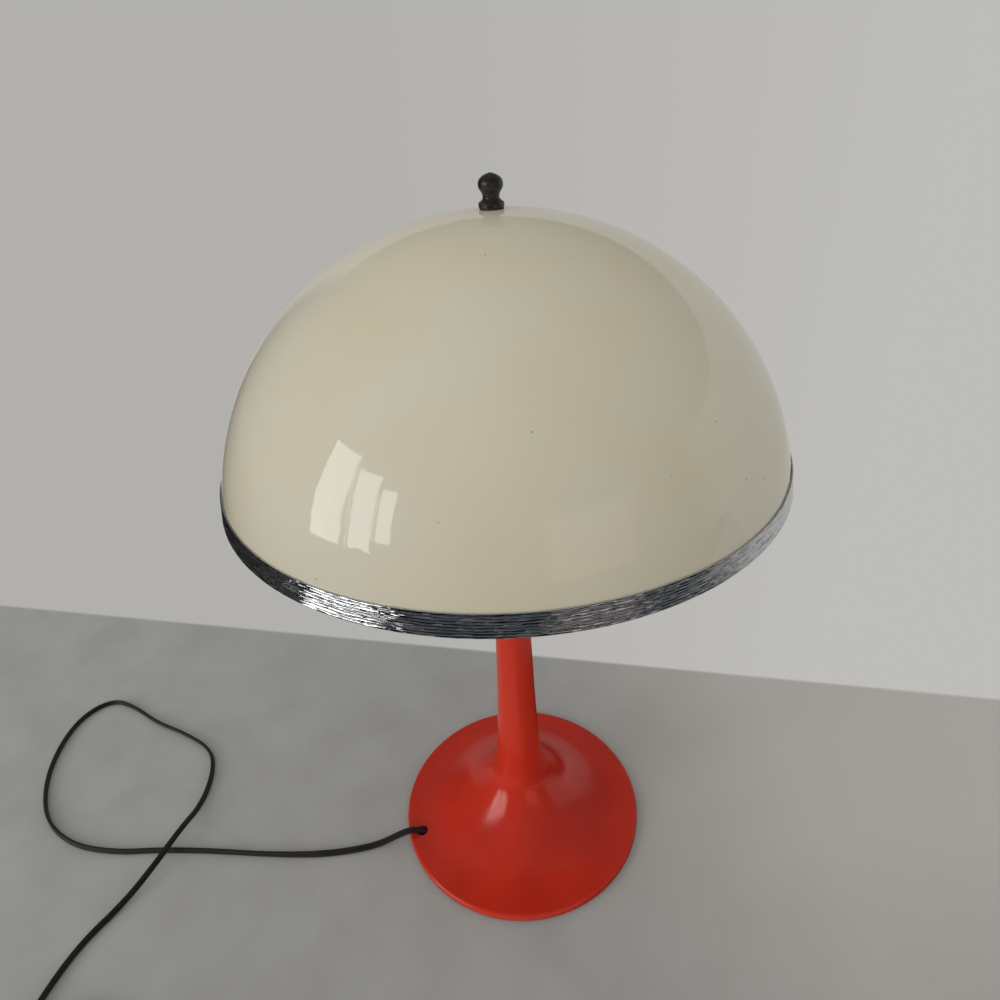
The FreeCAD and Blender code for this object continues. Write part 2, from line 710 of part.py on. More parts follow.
def build_finial():
    """A turned knob: a collar, a cove up to the neck and a slightly pointed ball, bored for its bush."""
    base = size("washer_top")
    collar = size("finial_collar_radius")
    neck = size("finial_neck_radius")
    ball = size("finial_ball_radius")
    bush = size("bush_radius")
    collar_top = base + size("finial_collar_height")
    cove = at(collar - size("finial_cove_run"), collar_top + size("finial_cove_climb"))
    neck_height = size("finial_neck_height")
    middle = size("finial_ball_middle")
    top = size("finial_top")
    bore_end = base + size("bush_depth")
    swell = (neck_height + middle) / 2
    crown = at(size("finial_crown_run"), top - size("finial_crown_drop"))
    edges = [
        line(at(bush, base), at(collar, base)),
        line(at(collar, base), at(collar, collar_top)),
        swept(at(collar, collar_top), cove, at(neck, neck_height - 1), at(neck, neck_height)),
        swept(at(neck, neck_height), at(neck, swell), at(ball, swell), at(ball, middle)),
        swept(at(ball, middle), at(ball, middle + size("finial_shoulder")), crown, at(0, top)),
        line(at(0, top), at(0, bore_end)),
        line(at(0, bore_end), at(bush, bore_end)),
        line(at(bush, bore_end), at(bush, base)),
    ]
    return revolved(edges)


keep(ring("small_washer", "stud_radius + slip_gap", "top_washer_radius", "shade_top", "washer_top"), "top_washer")
keep(feature("knob_ball", build_finial()), "finial_knob")
keep(ring("bush", "bush_bore", "bush_radius", "washer_top", "washer_top + bush_depth"), "finial_bush")


# ---- Flat twin lead, held inside the base and the pipe ----
def build_inner_lead():
    """A flat ribbon from the hole in the base, under the weight and up the pipe."""
    half = size("cord_thickness") / 2
    bend = size("lead_bend")
    low = size("board_top") + size("slip_gap") + half
    turn = size("lead_turn_reach")
    centre = at(-turn, low + bend)
    climb = math.radians(lead_climb)
    heading = at(-math.cos(climb), math.sin(climb))
    run_out = (size("mouth_height") - low - bend * (1 - math.cos(climb))) / math.sin(climb)
    outline = []
    for side in (-1, 1):
        lower = bend + side * half
        leave = centre + at(-lower * math.sin(climb), -lower * math.cos(climb))
        halfway = centre + at(-lower * math.sin(climb / 2), -lower * math.cos(climb / 2))
        corner = at(-bend, low + bend)
        diagonal = math.sqrt(0.5)
        outline.append([
            line(leave + heading * run_out, leave),
            arc(leave, halfway, at(-turn, low - side * half)),
            line(at(-turn, low - side * half), at(-bend, low - side * half)),
            arc(at(-bend, low - side * half), corner + at(lower * diagonal, -lower * diagonal),
                corner + at(lower, 0)),
            line(corner + at(lower, 0), at(side * half, size("core_bottom"))),
        ])
    ends = [line(outline[0][0].firstVertex().Point, outline[1][0].firstVertex().Point),
            line(at(-half, size("core_bottom")), at(half, size("core_bottom")))]
    face = Part.Face(Part.Wire(Part.__sortEdges__(outline[0] + outline[1] + ends)))
    face.translate(Vector(0, -size("cord_width") / 2, 0))
    ribbon = face.extrude(Vector(0, size("cord_width"), 0))
    ribbon.rotate(Vector(0, 0, 0), UP, cord_hole_angle - 180)
    exit_point = lead_direction().multVec(outline[0][0].firstVertex().Point * 0.5
                                          + outline[1][0].firstVertex().Point * 0.5)
    exit_heading = lead_direction().multVec(heading)
    print("cord leaves at %.1f %.1f %.1f, heading %.2f %.2f %.2f" % (*exit_point, *exit_heading))
    return ribbon, exit_point


lead_shape, cord_exit = build_inner_lead()
keep(feature("lead", lead_shape), "inner_lead")

# ---- Free cord: over the rim, along the table, round one loose loop and over itself ----
floor_height = size("cord_width") / 2
hump = 10.5
cord_route = [
    Vector(-96.4, -28.5, 12.8), Vector(-106.8, -30.4, 12.8), Vector(-125, -34, floor_height),
    Vector(-144, -38.4, floor_height), Vector(-178, -42, floor_height), Vector(-226, -39.6, floor_height),
    Vector(-276, -34, floor_height), Vector(-322, -31, floor_height), Vector(-364, -31.5, floor_height),
    Vector(-408, -22, floor_height), Vector(-446, 5, floor_height), Vector(-470, 50, floor_height),
    Vector(-478, 97, floor_height), Vector(-472, 132, floor_height), Vector(-449, 151, floor_height),
    Vector(-419, 138, floor_height), Vector(-386, 115, floor_height),
    Vector(-352, 100, floor_height), Vector(-313, 76, floor_height),
    Vector(-302, 46, floor_height), Vector(-302.5, 12, floor_height), Vector(-310.5, -17, hump),
    Vector(-319.5, -47, hump), Vector(-336, -76, floor_height), Vector(-355, -108, floor_height),
    Vector(-365.5, -148, floor_height), Vector(-367.5, -184, floor_height),
]


def coil_middle():
    last = cord_route[-1]
    return Vector(last.x + size("coil_radius"), last.y - size("cord_width"), 0)


def coil_turns():
    return 2 * size("layer_turns") + climb_turns


def coil_point(turns):
    """A point of the coil: it spirals in on the lower layer, climbs, and spirals out on the upper."""
    inward = min(turns, coil_turns() - turns)
    radius = size("coil_radius") - size("coil_pitch") * inward
    climbed = min(1, max(0, (turns - size("layer_turns")) / climb_turns))
    height = size("cord_width") / 2 + size("coil_pitch") * 0.5 * (1 - math.cos(math.pi * climbed))
    angle = math.pi + 2 * math.pi * turns
    return coil_middle() + Vector(radius * math.cos(angle), radius * math.sin(angle), height)


def coil_heading(turns):
    step = 0.0005
    return (coil_point(turns + step) - coil_point(turns - step)).normalize()


def joint_arcs(start, heading, end, end_heading):
    """Two arcs that leave start along one heading and reach end along the other."""
    span = end - start
    spread = heading + end_heading
    a = 2 * (1 - heading.dot(end_heading))
    b = 2 * span.dot(spread)
    reach = (-b + math.sqrt(b * b + 4 * a * span.dot(span))) / (2 * a)
    first = start + heading * reach
    second = end - end_heading * reach
    middle = (first + second) * 0.5
    return [tangent_arc(start, first, middle)[0], tangent_arc(middle, second, end)[0]]


def build_coil():
    """The put-away length, wound in two layers as one unbroken tube."""
    edges = []
    layer = size("layer_turns")
    steps = math.ceil(layer / climb_turns * 2)
    inward = [layer * number / steps for number in range(steps + 1)]
    stations = inward + [coil_turns() / 2] + [coil_turns() - turns for turns in reversed(inward)]
    headings = [coil_heading(turns) for turns in stations]
    headings[0] = Vector(0, -1, 0)
    headings[-1] = Vector(headings[-1].x, headings[-1].y, 0).normalize()
    for number in range(len(stations) - 1):
        edges += joint_arcs(coil_point(stations[number]), headings[number],
                            coil_point(stations[number + 1]), headings[number + 1])
    lead_in = line(cord_route[-1], coil_point(0))
    out = coil_point(stations[-1])
    lead_out = line(out, out + headings[-1] * size("cord_width"))
    return Part.Wire([lead_in] + edges + [lead_out]), headings[-1]


def least_self_gap(wire, width):
    """The least gap between stretches of one tube that are over two diameters apart along it."""
    points = wire.discretize(Distance=2.0)
    step = wire.Length / (len(points) - 1)
    skip = int(3 * width / step) + 1
    nearest = min((points[i] - points[j]).Length
                  for i in range(len(points)) for j in range(i + skip, len(points)))
    return nearest - width


def report_tube(name, wire, shape):
    section = math.pi * size("cord_width") ** 2 / 4
    print("%s: length %.0f mm, volume over section times length %.4f"
          % (name, wire.Length, shape.Volume / (section * wire.Length)))


cord_points = [cord_exit] + cord_route
cord_wire, cord_radii = rounded_path(cord_points)
cord_shape = tube_along(cord_wire, size("cord_width") / 2)
print("cord radii, mm:", " ".join("%.0f" % radius for radius in cord_radii))
report_tube("cord", cord_wire, cord_shape)
keep(feature("cord", cord_shape), "cord")

coil_wire, coil_out = build_coil()
coil_shape = tube_along(coil_wire, size("cord_width") / 2)
print("coil least gap to itself %.2f mm" % least_self_gap(coil_wire, size("cord_width")))
report_tube("coil", coil_wire, coil_shape)
keep(feature("coil", coil_shape), "cord_coil")

# ---- Tail of the cord and the plug ----
tail_start = coil_wire.Edges[-1].lastVertex().Point
across = UP.cross(coil_out)
plug_drop = size("plug_height") / 2 - tail_start.z
tail_points = [
    tail_start,
    tail_start + coil_out * 16 + across * -0.8,
    tail_start + coil_out * 36 + across * -2.6 + UP * plug_drop,
    tail_start + coil_out * 52 + across * -3.2 + UP * plug_drop,
]
tail_wire, tail_radii = rounded_path(tail_points)
tail_shape = tube_along(tail_wire, size("cord_width") / 2)
print("tail radii, mm:", " ".join("%.0f" % radius for radius in tail_radii))
report_tube("tail", tail_wire, tail_shape)
keep(feature("tail", tail_shape), "cord_tail")
print("cord in all %.0f mm" % (cord_wire.Length + coil_wire.Length + tail_wire.Length))

plug_heading = (tail_points[-1] - tail_points[-2]).normalize()
plug_turn = FreeCAD.Rotation(Vector(1, 0, 0), plug_heading)


def plug_place(distance):
    """A placement on the plug's axis, a distance on from the end of the cord."""
    return FreeCAD.Placement(tail_points[-1] + plug_heading * distance, plug_turn)


def build_relief():
    cone = document.addObject("Part::Cone", "relief")
    cone.setExpression("Radius1", "Sizes.cord_width / 2")
    cone.setExpression("Radius2", formula("relief_radius"))
    cone.setExpression("Height", formula("relief_length"))
    along = FreeCAD.Placement(Vector(0, 0, 0), FreeCAD.Rotation(UP, Vector(1, 0, 0)))
    cone.Placement = plug_place(0).multiply(along)
    return cone


def build_plug_body():
    body = document.addObject("PartDesign::Body", "plug")
    sketch = closed_sketch(body, "plug_outline", "XY_Plane", [
        ("0", "0"), ("plug_length", "0"), ("plug_length", "plug_width"), ("0", "plug_width")])
    pad = body.newObject("PartDesign::Pad", "plug_pad")
    pad.Profile = sketch
    pad.setExpression("Length", formula("plug_height"))
    document.recompute()
    rounding = body.newObject("PartDesign::Fillet", "plug_rounding")
    lengthwise = [f"Edge{number}" for number, edge in enumerate(pad.Shape.Edges, start=1)
                  if abs(edge.tangentAt(edge.FirstParameter).x) > 0.9]
    rounding.Base = (pad, lengthwise)
    rounding.setExpression("Radius", formula("plug_round"))
    to_middle = FreeCAD.Placement(
        Vector(size("relief_length"), -size("plug_width") / 2, -size("plug_height") / 2), FreeCAD.Rotation())
    body.Placement = plug_place(0).multiply(to_middle)
    return body


def build_blade(name, side):
    blade = document.addObject("Part::Box", name)
    blade.setExpression("Length", formula("blade_length"))
    blade.setExpression("Width", formula("blade_thickness"))
    blade.setExpression("Height", formula("blade_height"))
    offset = Vector(size("relief_length + plug_length"),
                    side * size("blade_spacing") / 2 - size("blade_thickness") / 2,
                    -size("blade_height") / 2)
    blade.Placement = plug_place(0).multiply(FreeCAD.Placement(offset, FreeCAD.Rotation()))
    return blade


keep(build_relief(), "plug_relief")
keep(build_plug_body(), "plug_body")
keep(joined("Fuse", "blades", build_blade("blade_left", 1), build_blade("blade_right", -1)), "plug_blades")


# ---- Check and export ----
document.recompute()
for item in document.Objects:
    if "Invalid" in item.State or "Error" in item.State:
        raise RuntimeError("failed object: " + item.Name)
os.makedirs("parts", exist_ok=True)
for node in nodes:
    if node.Shape.isNull() or not node.Shape.isValid():
        raise RuntimeError("bad shape: " + node.Label)
    node.Shape.exportStep(os.path.join("parts", node.Label + ".step"))
print(len(nodes), "sub-parts written")
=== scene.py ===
import json
import math

import bpy
from mathutils import Matrix, Vector


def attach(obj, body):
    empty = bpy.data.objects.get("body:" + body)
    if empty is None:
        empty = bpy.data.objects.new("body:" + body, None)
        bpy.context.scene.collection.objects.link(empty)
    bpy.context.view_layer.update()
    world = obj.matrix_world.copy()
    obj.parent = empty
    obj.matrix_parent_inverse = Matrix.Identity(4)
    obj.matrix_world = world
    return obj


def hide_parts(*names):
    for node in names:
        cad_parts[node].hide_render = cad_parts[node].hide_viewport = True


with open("model.json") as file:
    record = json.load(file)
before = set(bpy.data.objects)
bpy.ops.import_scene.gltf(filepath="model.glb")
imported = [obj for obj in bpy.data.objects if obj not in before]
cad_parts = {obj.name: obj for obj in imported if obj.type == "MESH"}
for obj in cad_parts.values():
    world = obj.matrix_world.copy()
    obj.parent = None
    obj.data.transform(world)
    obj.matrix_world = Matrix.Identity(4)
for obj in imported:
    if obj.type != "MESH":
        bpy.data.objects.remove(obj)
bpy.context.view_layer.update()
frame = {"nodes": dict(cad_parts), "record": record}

nodes = frame["nodes"]
materials = {}         # slot name -> material


# the camera stands where the photograph was taken from
cameraSetup = {
    "place": (0.0, -0.39507, 0.56364),
    "lens": 24.465,          # mm
    "sensor": 36,            # mm across
    "down": 30.843,          # degrees below level
    "turn": -0.6257,         # degrees to the right
    "roll": -3.2197,         # degrees that its right side is raised
    "nearest": 0.01,         # what is nearer isn't drawn
}


def metres(millimetres):
    return millimetres / 1000


def perMetre(millimetres):
    return 1000 / millimetres   # a texture's scale for a pattern of that size


def cameraMatrix(setup):
    down, turn, roll = (math.radians(setup[key]) for key in ("down", "turn", "roll"))
    ahead = Vector((math.sin(turn) * math.cos(down), math.cos(turn) * math.cos(down), -math.sin(down)))
    level = Vector((math.cos(turn), -math.sin(turn), 0))
    above = level.cross(ahead)
    right = math.cos(roll) * level + math.sin(roll) * above
    top = -math.sin(roll) * level + math.cos(roll) * above
    axes = Matrix((right, top, -ahead)).transposed()
    return Matrix.Translation(setup["place"]) @ axes.to_4x4()


def linkObject(name, data):
    thing = bpy.data.objects.new(name, data)
    bpy.context.scene.collection.objects.link(thing)
    return thing


def makeCamera(setup):
    lensData = bpy.data.cameras.new("photoCamera")
    lensData.lens = setup["lens"]
    lensData.sensor_width = setup["sensor"]
    lensData.clip_start = setup["nearest"]
    camera = linkObject("photoCamera", lensData)
    camera.matrix_world = cameraMatrix(setup)
    bpy.context.scene.camera = camera


makeCamera(cameraSetup)
print("camera set")


# free cord: flat twin, one line from the hole in the base to the plug, all in metres
flatCord = {
    "exit": (-0.0911, -0.0270, 0.0076),
    "length": 1.8,
    "width": 0.0055,
    "thickness": 0.0029,
    "onEdge": 0.00275,       # middle of the cord above the table where it stands on its edge
    "onFlat": 0.0020,        # the same where it nearly lies flat
    "hump": 0.0105,          # the same where it crosses over itself
    "coreSteps": 9,          # steps round each core
    "lineSteps": 12,         # steps between two points of the line
    "coilRadius": 0.036,
    "coilPitch": 0.0062,     # from one turn or layer to the next
    "coilLayer": 1.875,      # turns before it climbs
    "coilClimb": 0.5,        # turns that the climb takes
    "coilSteps": 16,         # points a turn
}
onEdge, onFlat, hump = (flatCord[key] for key in ("onEdge", "onFlat", "hump"))
# x, y, height and lean: 0 stands on its edge, 90 lies flat
cordRoute = [
    (*flatCord["exit"], 70), (-0.0964, -0.0285, 0.0120, 75), (-0.1068, -0.0304, 0.0100, 75),
    (-0.1250, -0.0340, 0.0024, 75), (-0.1440, -0.0384, onFlat, 70), (-0.1780, -0.0420, 0.0024, 40),
    (-0.2260, -0.0396, onEdge, -4), (-0.2760, -0.0340, onEdge, 8), (-0.3220, -0.0310, onEdge, 12),
    (-0.3640, -0.0315, onEdge, 12), (-0.4080, -0.0220, onEdge, 10), (-0.4460, 0.0050, onEdge, 0),
    (-0.4700, 0.0500, onEdge, 0), (-0.4780, 0.0970, onEdge, 0), (-0.4720, 0.1320, onEdge, 0),
    (-0.4490, 0.1510, onEdge, 0), (-0.4190, 0.1380, onEdge, 0), (-0.3860, 0.1150, onEdge, 10),
    (-0.3520, 0.1000, onEdge, 20), (-0.3130, 0.0760, onEdge, 12), (-0.3020, 0.0460, onEdge, 10),
    (-0.3015, 0.0120, onEdge, 15), (-0.3080, -0.0170, hump, 20), (-0.3165, -0.0470, hump, 25),
    (-0.3335, -0.0760, onEdge, 30), (-0.3545, -0.1080, onEdge, 20), (-0.3655, -0.1480, onEdge, 0),
    (-0.3675, -0.1840, onEdge, 0),
]
cordTail = [
    (-0.32600, -0.22565, 0.00895, 0), (-0.31003, -0.22689, 0.00895, 20),
    (-0.29009, -0.22924, 0.0060, 60), (-0.27411, -0.23028, 0.0060, 90),
]


def coilTurns(cord):
    # a lower layer, the climb and an upper layer
    return 2 * cord["coilLayer"] + cord["coilClimb"]


def coilPoint(cord, turns):
    # spirals in on the lower layer, climbs smoothly, and spirals out again on the upper one
    radius = cord["coilRadius"] - cord["coilPitch"] * min(turns, coilTurns(cord) - turns)
    climbed = min(1, max(0, (turns - cord["coilLayer"]) / cord["coilClimb"]))
    angle = math.pi + 2 * math.pi * turns
    lastX, lastY = cordRoute[-1][:2]
    return (
        lastX + cord["coilRadius"] + radius * math.cos(angle),
        lastY - cord["width"] + radius * math.sin(angle),
        cord["onEdge"] + cord["coilPitch"] * 0.5 * (1 - math.cos(math.pi * climbed)),
        0,
    )


def cordPoints(cord):
    allTurns = coilTurns(cord)
    steps = round(allTurns * cord["coilSteps"])
    return cordRoute + [coilPoint(cord, allTurns * step / steps) for step in range(steps + 1)] + cordTail


def twinProfile(cord):
    # two round cores side by side, with a groove where their skins meet
    core = cord["thickness"] / 2
    offset = cord["width"] / 2 - core
    sweep = math.pi - math.acos(offset / core)
    points = []
    for side in (1, -1):
        for step in range(cord["coreSteps"] + 1):
            angle = sweep * (2 * step / cord["coreSteps"] - 1)
            points.append((side * (offset + core * math.cos(angle)), side * core * math.sin(angle)))
    outline = bpy.data.curves.new("cordProfile", "CURVE")
    outline.dimensions = "2D"
    spline = outline.splines.new("POLY")
    spline.points.add(len(points) - 1)
    for point, (across, along) in zip(spline.points, points):
        point.co = (along, across, 0, 1)   # standing on its edge
    spline.use_cyclic_u = True
    profile = linkObject("cordProfile", outline)
    profile.hide_render = True
    return profile


def makeCord(cord):
    points = cordPoints(cord)
    line = bpy.data.curves.new("flatCord", "CURVE")
    line.dimensions = "3D"
    line.twist_mode = "Z_UP"
    line.bevel_mode = "OBJECT"
    line.bevel_object = twinProfile(cord)
    line.use_fill_caps = True
    line.resolution_u = cord["lineSteps"]
    spline = line.splines.new("NURBS")
    spline.points.add(len(points) - 1)
    for point, (x, y, z, lean) in zip(spline.points, points):
        point.co = (x, y, z, 1)
        point.tilt = math.radians(lean)
    spline.order_u = 3
    spline.use_endpoint_u = True
    return linkObject("flatCord", line)


cordPiece = makeCord(flatCord)
print("cord laid")


def makeMesh(name, points, faces, sharpAngle):
    mesh = bpy.data.meshes.new(name)
    mesh.from_pydata([tuple(point) for point in points], [], faces)
    mesh.polygons.foreach_set("use_smooth", [True] * len(mesh.polygons))
    mesh.set_sharp_from_angle(angle=math.radians(sharpAngle))
    return linkObject(name, mesh)


def roundedBox(around, squareness):
    # an outline that reaches one unit each way: round at a squareness of 2, boxier above it
    outline = []
    for step in range(around):
        angle = 2 * math.pi * step / around
        circle = (math.cos(angle), math.sin(angle))
        outline.append([math.copysign(abs(reach) ** (2 / squareness), reach) for reach in circle])
    return outline


# moulded plug: a slotted strain relief that widens into a body with a ribbed waist, in millimetres
mouldedPlug = {
    "end": cordTail[-1][:3],   # metres
    "turn": -3.715,            # degrees from the X axis
    "around": 48, "sharpAngle": 35,
    "lean": 0.15,              # how far a groove's walls lean
    "plugRelief": {
        # along, half width, half height, squareness of the outline
        "rings": [(-0.5, 2.9, 1.75, 2.2), (0.6, 3.2, 2.1, 2.2), (5, 3.6, 2.9, 2.3), (12, 4.1, 3.7, 2.4),
                  (20.5, 4.7, 4.5, 2.6)],
        "grooves": (4, 7.4, 10.8, 14.2), "width": 1.5, "depth": 0.75,
    },
    "plugBody": {
        "rings": [(19.6, 4.2, 4.0, 2.6), (20.2, 5.2, 4.7, 2.8), (22, 7.6, 5.4, 3.2), (24.5, 9.2, 5.8, 3.8),
                  (27, 9.7, 5.9, 4.2), (41, 10.2, 5.95, 4.6), (43.5, 10.9, 6, 5), (48.8, 11, 6, 5.5),
                  (49.7, 10.7, 5.7, 5.5), (50, 10.2, 5.2, 5.5)],
        "grooves": (28, 30.4, 32.8, 35.2, 37.6), "width": 1.3, "depth": 0.7,
    },
}


def ringAt(rings, along):
    # the outline between two of the rings that are given
    for low, high in zip(rings, rings[1:]):
        if along <= high[0]:
            share = (along - low[0]) / (high[0] - low[0])
            return [start + share * (end - start) for start, end in zip(low, high)]
    return list(rings[-1])


def groovedRings(shape, lean):
    # its rings, with narrow grooves cut round them
    rings, width, depth = shape["rings"], shape["width"], shape["depth"]
    result = []
    for ring in rings:
        if not any(start <= ring[0] <= start + width for start in shape["grooves"]):
            result.append(list(ring))
    for start in shape["grooves"]:
        for step, cut in ((0, 0), (lean, depth), (width - lean, depth), (width, 0)):
            along, halfWidth, halfHeight, squareness = ringAt(rings, start + step)
            result.append([along, halfWidth - cut, halfHeight - cut, squareness])
    return sorted(result)


def loft(name, rings, look, place):
    # one skin over all the rings, closed at both ends
    around = look["around"]
    points, faces = [], []
    for along, halfWidth, halfHeight, squareness in rings:
        for across, up in roundedBox(around, squareness):
            points.append(place @ Vector((along, halfWidth * across, halfHeight * up)))
    for ring in range(len(rings) - 1):
        for step in range(around):
            first = ring * around + step
            second = ring * around + (step + 1) % around
            faces.append((first, second, second + around, first + around))
    faces.append(tuple(reversed(range(around))))
    faces.append(tuple(range(len(points) - around, len(points))))
    return makeMesh(name, points, faces, look["sharpAngle"])


def makePlug(look):
    turned = Matrix.Rotation(math.radians(look["turn"]), 4, "Z")
    place = Matrix.Translation(look["end"]) @ turned @ Matrix.Scale(metres(1), 4)
    return [loft(name, groovedRings(look[name], look["lean"]), look, place)
            for name in ("plugRelief", "plugBody")]


plugRelief, plugBody = makePlug(mouldedPlug)


# band that holds the coil: a flat strap round the whole bundle
coilTie = {
    "reach": 0.029,          # from the coil's middle to the middle of the bundle
    "halfWidth": 0.0062, "halfHeight": 0.0060, "thickness": 0.0007, "strap": 0.0042,
    "lift": 0.0001,          # off the table
    "squareness": 4.5, "around": 40, "sharpAngle": 40,
}


def makeTie(tie, cord):
    lastX, lastY = cordRoute[-1][:2]
    middle = Vector((lastX + cord["coilRadius"] + tie["reach"], lastY - cord["width"],
                     tie["halfHeight"] + tie["lift"]))
    section = ((0, -1), (0, 1), (tie["thickness"], 1), (tie["thickness"], -1))
    points, faces = [], []
    for across, up in roundedBox(tie["around"], tie["squareness"]):
        for grow, side in section:
            growUp = grow if up > 0 else 0   # it doesn't thicken downwards, so it stays off the table
            points.append(middle + Vector(((tie["halfWidth"] + grow) * across, side * tie["strap"] / 2,
                                           (tie["halfHeight"] + growUp) * up)))
    corners = len(section)
    for step in range(tie["around"]):
        here, there = corners * step, corners * ((step + 1) % tie["around"])
        for corner in range(corners):
            beside = (corner + 1) % corners
            faces.append((here + corner, there + corner, there + beside, here + beside))
    return makeMesh("coilTie", points, faces, tie["sharpAngle"])


tiePiece = makeTie(coilTie, flatCord)
print("plug and tie made")


def linearColour(hexColour):
    # the sRGB curve
    channels = [int(hexColour[i:i + 2], 16) / 255 for i in (1, 3, 5)]
    linear = [c / 12.92 if c <= 0.04045 else ((c + 0.055) / 1.055) ** 2.4 for c in channels]
    return (*linear, 1)


def addNode(tree, kind, inputs=None, **settings):
    # one node with its settings; a socket takes a number, a hex colour, a node or a node's output
    node = tree.nodes.new("ShaderNode" + kind)
    for name, value in settings.items():
        setattr(node, name, value)
    for key, value in (inputs or {}).items():
        if isinstance(key, int):
            socket = node.inputs[key]
        else:
            socket = next(one for one in node.inputs if one.enabled and one.name == key)
        if isinstance(value, bpy.types.Node):
            value = next(output for output in value.outputs if output.enabled)
        if isinstance(value, bpy.types.NodeSocket):
            tree.links.new(value, socket)
        else:
            socket.default_value = linearColour(value) if isinstance(value, str) else value
    return node


def startMaterial(name):
    # an empty material, and the place on the object in metres
    material = bpy.data.materials.new(name)
    material.use_nodes = True
    material.node_tree.nodes.clear()
    place = addNode(material.node_tree, "TexCoord").outputs["Object"]
    return material, material.node_tree, place


def fromAxis(tree, place):
    # how far a point lies from the lamp's upright axis
    flat = addNode(tree, "VectorMath", {0: place, 1: (1, 1, 0)}, operation="MULTIPLY")
    return addNode(tree, "VectorMath", {0: flat}, operation="LENGTH")


# stoved enamel, sprayed on spun steel: an even, semi-gloss skin with faint orange peel,
# and dust nibs that are drawn coarse enough to show
stovedEnamel = {
    "colour": "#be2a18", "shade": "#b22616",
    "cloud": {"Scale": perMetre(45), "Detail": 2}, "clouded": {"From Min": 0.35, "From Max": 0.65},
    # over the rolled rim a painted highlight, broken up by noise, makes it lighter and more orange
    "rimHighlight": "#d8583a", "rim": {"From Min": 0.1026, "From Max": 0.1040, "To Max": 0.4},
    "rimHighlightBreakup": {"Scale": perMetre(6), "Detail": 4},
    # and on the stem painted light makes the colour brighter than on the foot, for the window's light that
    # falls on it
    "stem": "#cd3420", "litStemShare": {"From Min": 0.02, "From Max": 0.11},
    "peel": {"Scale": perMetre(2.4), "Detail": 1}, "peelDepth": metres(0.003),
    "dust": {"Scale": perMetre(2.2), "Detail": 1}, "nibs": {"From Min": 0.77, "From Max": 0.82},
    "nibHeight": {"Distance": metres(0.006), "Strength": 0.5},
    "smear": {"Scale": perMetre(18), "Detail": 4},
    "gloss": {"From Min": 0.35, "From Max": 0.65, "To Min": 0.15, "To Max": 0.23},
    "shine": {"IOR": 1.5, "Specular IOR Level": 0.42},
}


def makeEnamel(look):
    material, tree, place = startMaterial("stovedEnamel")
    cloud = addNode(tree, "TexNoise", {"Vector": place, **look["cloud"]})
    clouded = addNode(tree, "MapRange", {"Value": cloud, **look["clouded"]})
    body = addNode(tree, "Mix", {"Factor": clouded, "A": look["colour"], "B": look["shade"]},
                   data_type="RGBA")
    # painted highlight along the rolled rim, broken up by noise
    rim = addNode(tree, "MapRange", {"Value": fromAxis(tree, place), **look["rim"]})
    rimHighlightBreakup = addNode(tree, "TexNoise", {"Vector": place, **look["rimHighlightBreakup"]})
    broken = addNode(tree, "Math", {0: rim, 1: rimHighlightBreakup}, operation="MULTIPLY")
    edged = addNode(tree, "Mix", {"Factor": broken, "A": body, "B": look["rimHighlight"]}, data_type="RGBA")
    # painted light: the colour turns brighter from the foot upwards
    height = addNode(tree, "SeparateXYZ", {0: place}).outputs["Z"]
    litStemShare = addNode(tree, "MapRange", {"Value": height, **look["litStemShare"]})
    colour = addNode(tree, "Mix", {"Factor": litStemShare, "A": edged, "B": look["stem"]}, data_type="RGBA")
    peel = addNode(tree, "TexNoise", {"Vector": place, **look["peel"]})
    skin = addNode(tree, "Bump", {"Height": peel, "Distance": look["peelDepth"]})
    dust = addNode(tree, "TexNoise", {"Vector": place, **look["dust"]})
    nibs = addNode(tree, "MapRange", {"Value": dust, **look["nibs"]})
    surface = addNode(tree, "Bump", {"Height": nibs, "Normal": skin, **look["nibHeight"]})
    smears = addNode(tree, "TexNoise", {"Vector": place, **look["smear"]})
    gloss = addNode(tree, "MapRange", {"Value": smears, **look["gloss"]})
    shader = addNode(tree, "BsdfPrincipled", {"Base Color": colour, "Roughness": gloss, "Normal": surface,
                                              **look["shine"]})
    addNode(tree, "OutputMaterial", {"Surface": shader})
    return material


materials["red_enamel"] = makeEnamel(stovedEnamel)


# cast iron, grey and rough from the sand mould, with rust in patches
castIron = {
    "colour": "#4c4a48", "rust": "#5e4436",
    "stain": {"Scale": perMetre(14), "Detail": 5, "Roughness": 0.6},
    "rusted": {"From Min": 0.5, "From Max": 0.7, "To Max": 0.6},
    "grit": {"Scale": perMetre(1.4), "Detail": 4, "Roughness": 0.6}, "gritDepth": metres(0.25),
    "gloss": {"From Min": 0.3, "From Max": 0.7, "To Min": 0.6, "To Max": 0.82},
}


def makeCastIron(look):
    material, tree, place = startMaterial("castIron")
    stains = addNode(tree, "TexNoise", {"Vector": place, **look["stain"]})
    rusted = addNode(tree, "MapRange", {"Value": stains, **look["rusted"]})
    colour = addNode(tree, "Mix", {"Factor": rusted, "A": look["colour"], "B": look["rust"]},
                     data_type="RGBA")
    grit = addNode(tree, "TexNoise", {"Vector": place, **look["grit"]})
    surface = addNode(tree, "Bump", {"Height": grit, "Distance": look["gritDepth"]})
    gloss = addNode(tree, "MapRange", {"Value": grit, **look["gloss"]})
    shader = addNode(tree, "BsdfPrincipled", {"Base Color": colour, "Metallic": 1.0, "Roughness": gloss,
                                              "Normal": surface})
    addNode(tree, "OutputMaterial", {"Surface": shader})
    return material


materials["cast_weight"] = makeCastIron(castIron)


# pressed wool felt: short matted fibres that lie two ways, drawn coarse enough to show, no gloss
pressedFelt = {
    "colour": "#2c3a31", "fibre": "#47564a", "stretches": ((1, 0.15, 1), (0.15, 1, 1)),
    "strand": {"Scale": perMetre(0.35), "Detail": 3, "Roughness": 0.6}, "fibreDepth": metres(0.18),
    "lit": {"From Min": 0.45, "From Max": 0.75},
    "nap": {"Roughness": 0.95, "IOR": 1.5, "Sheen Weight": 0.35, "Sheen Roughness": 0.5},
}


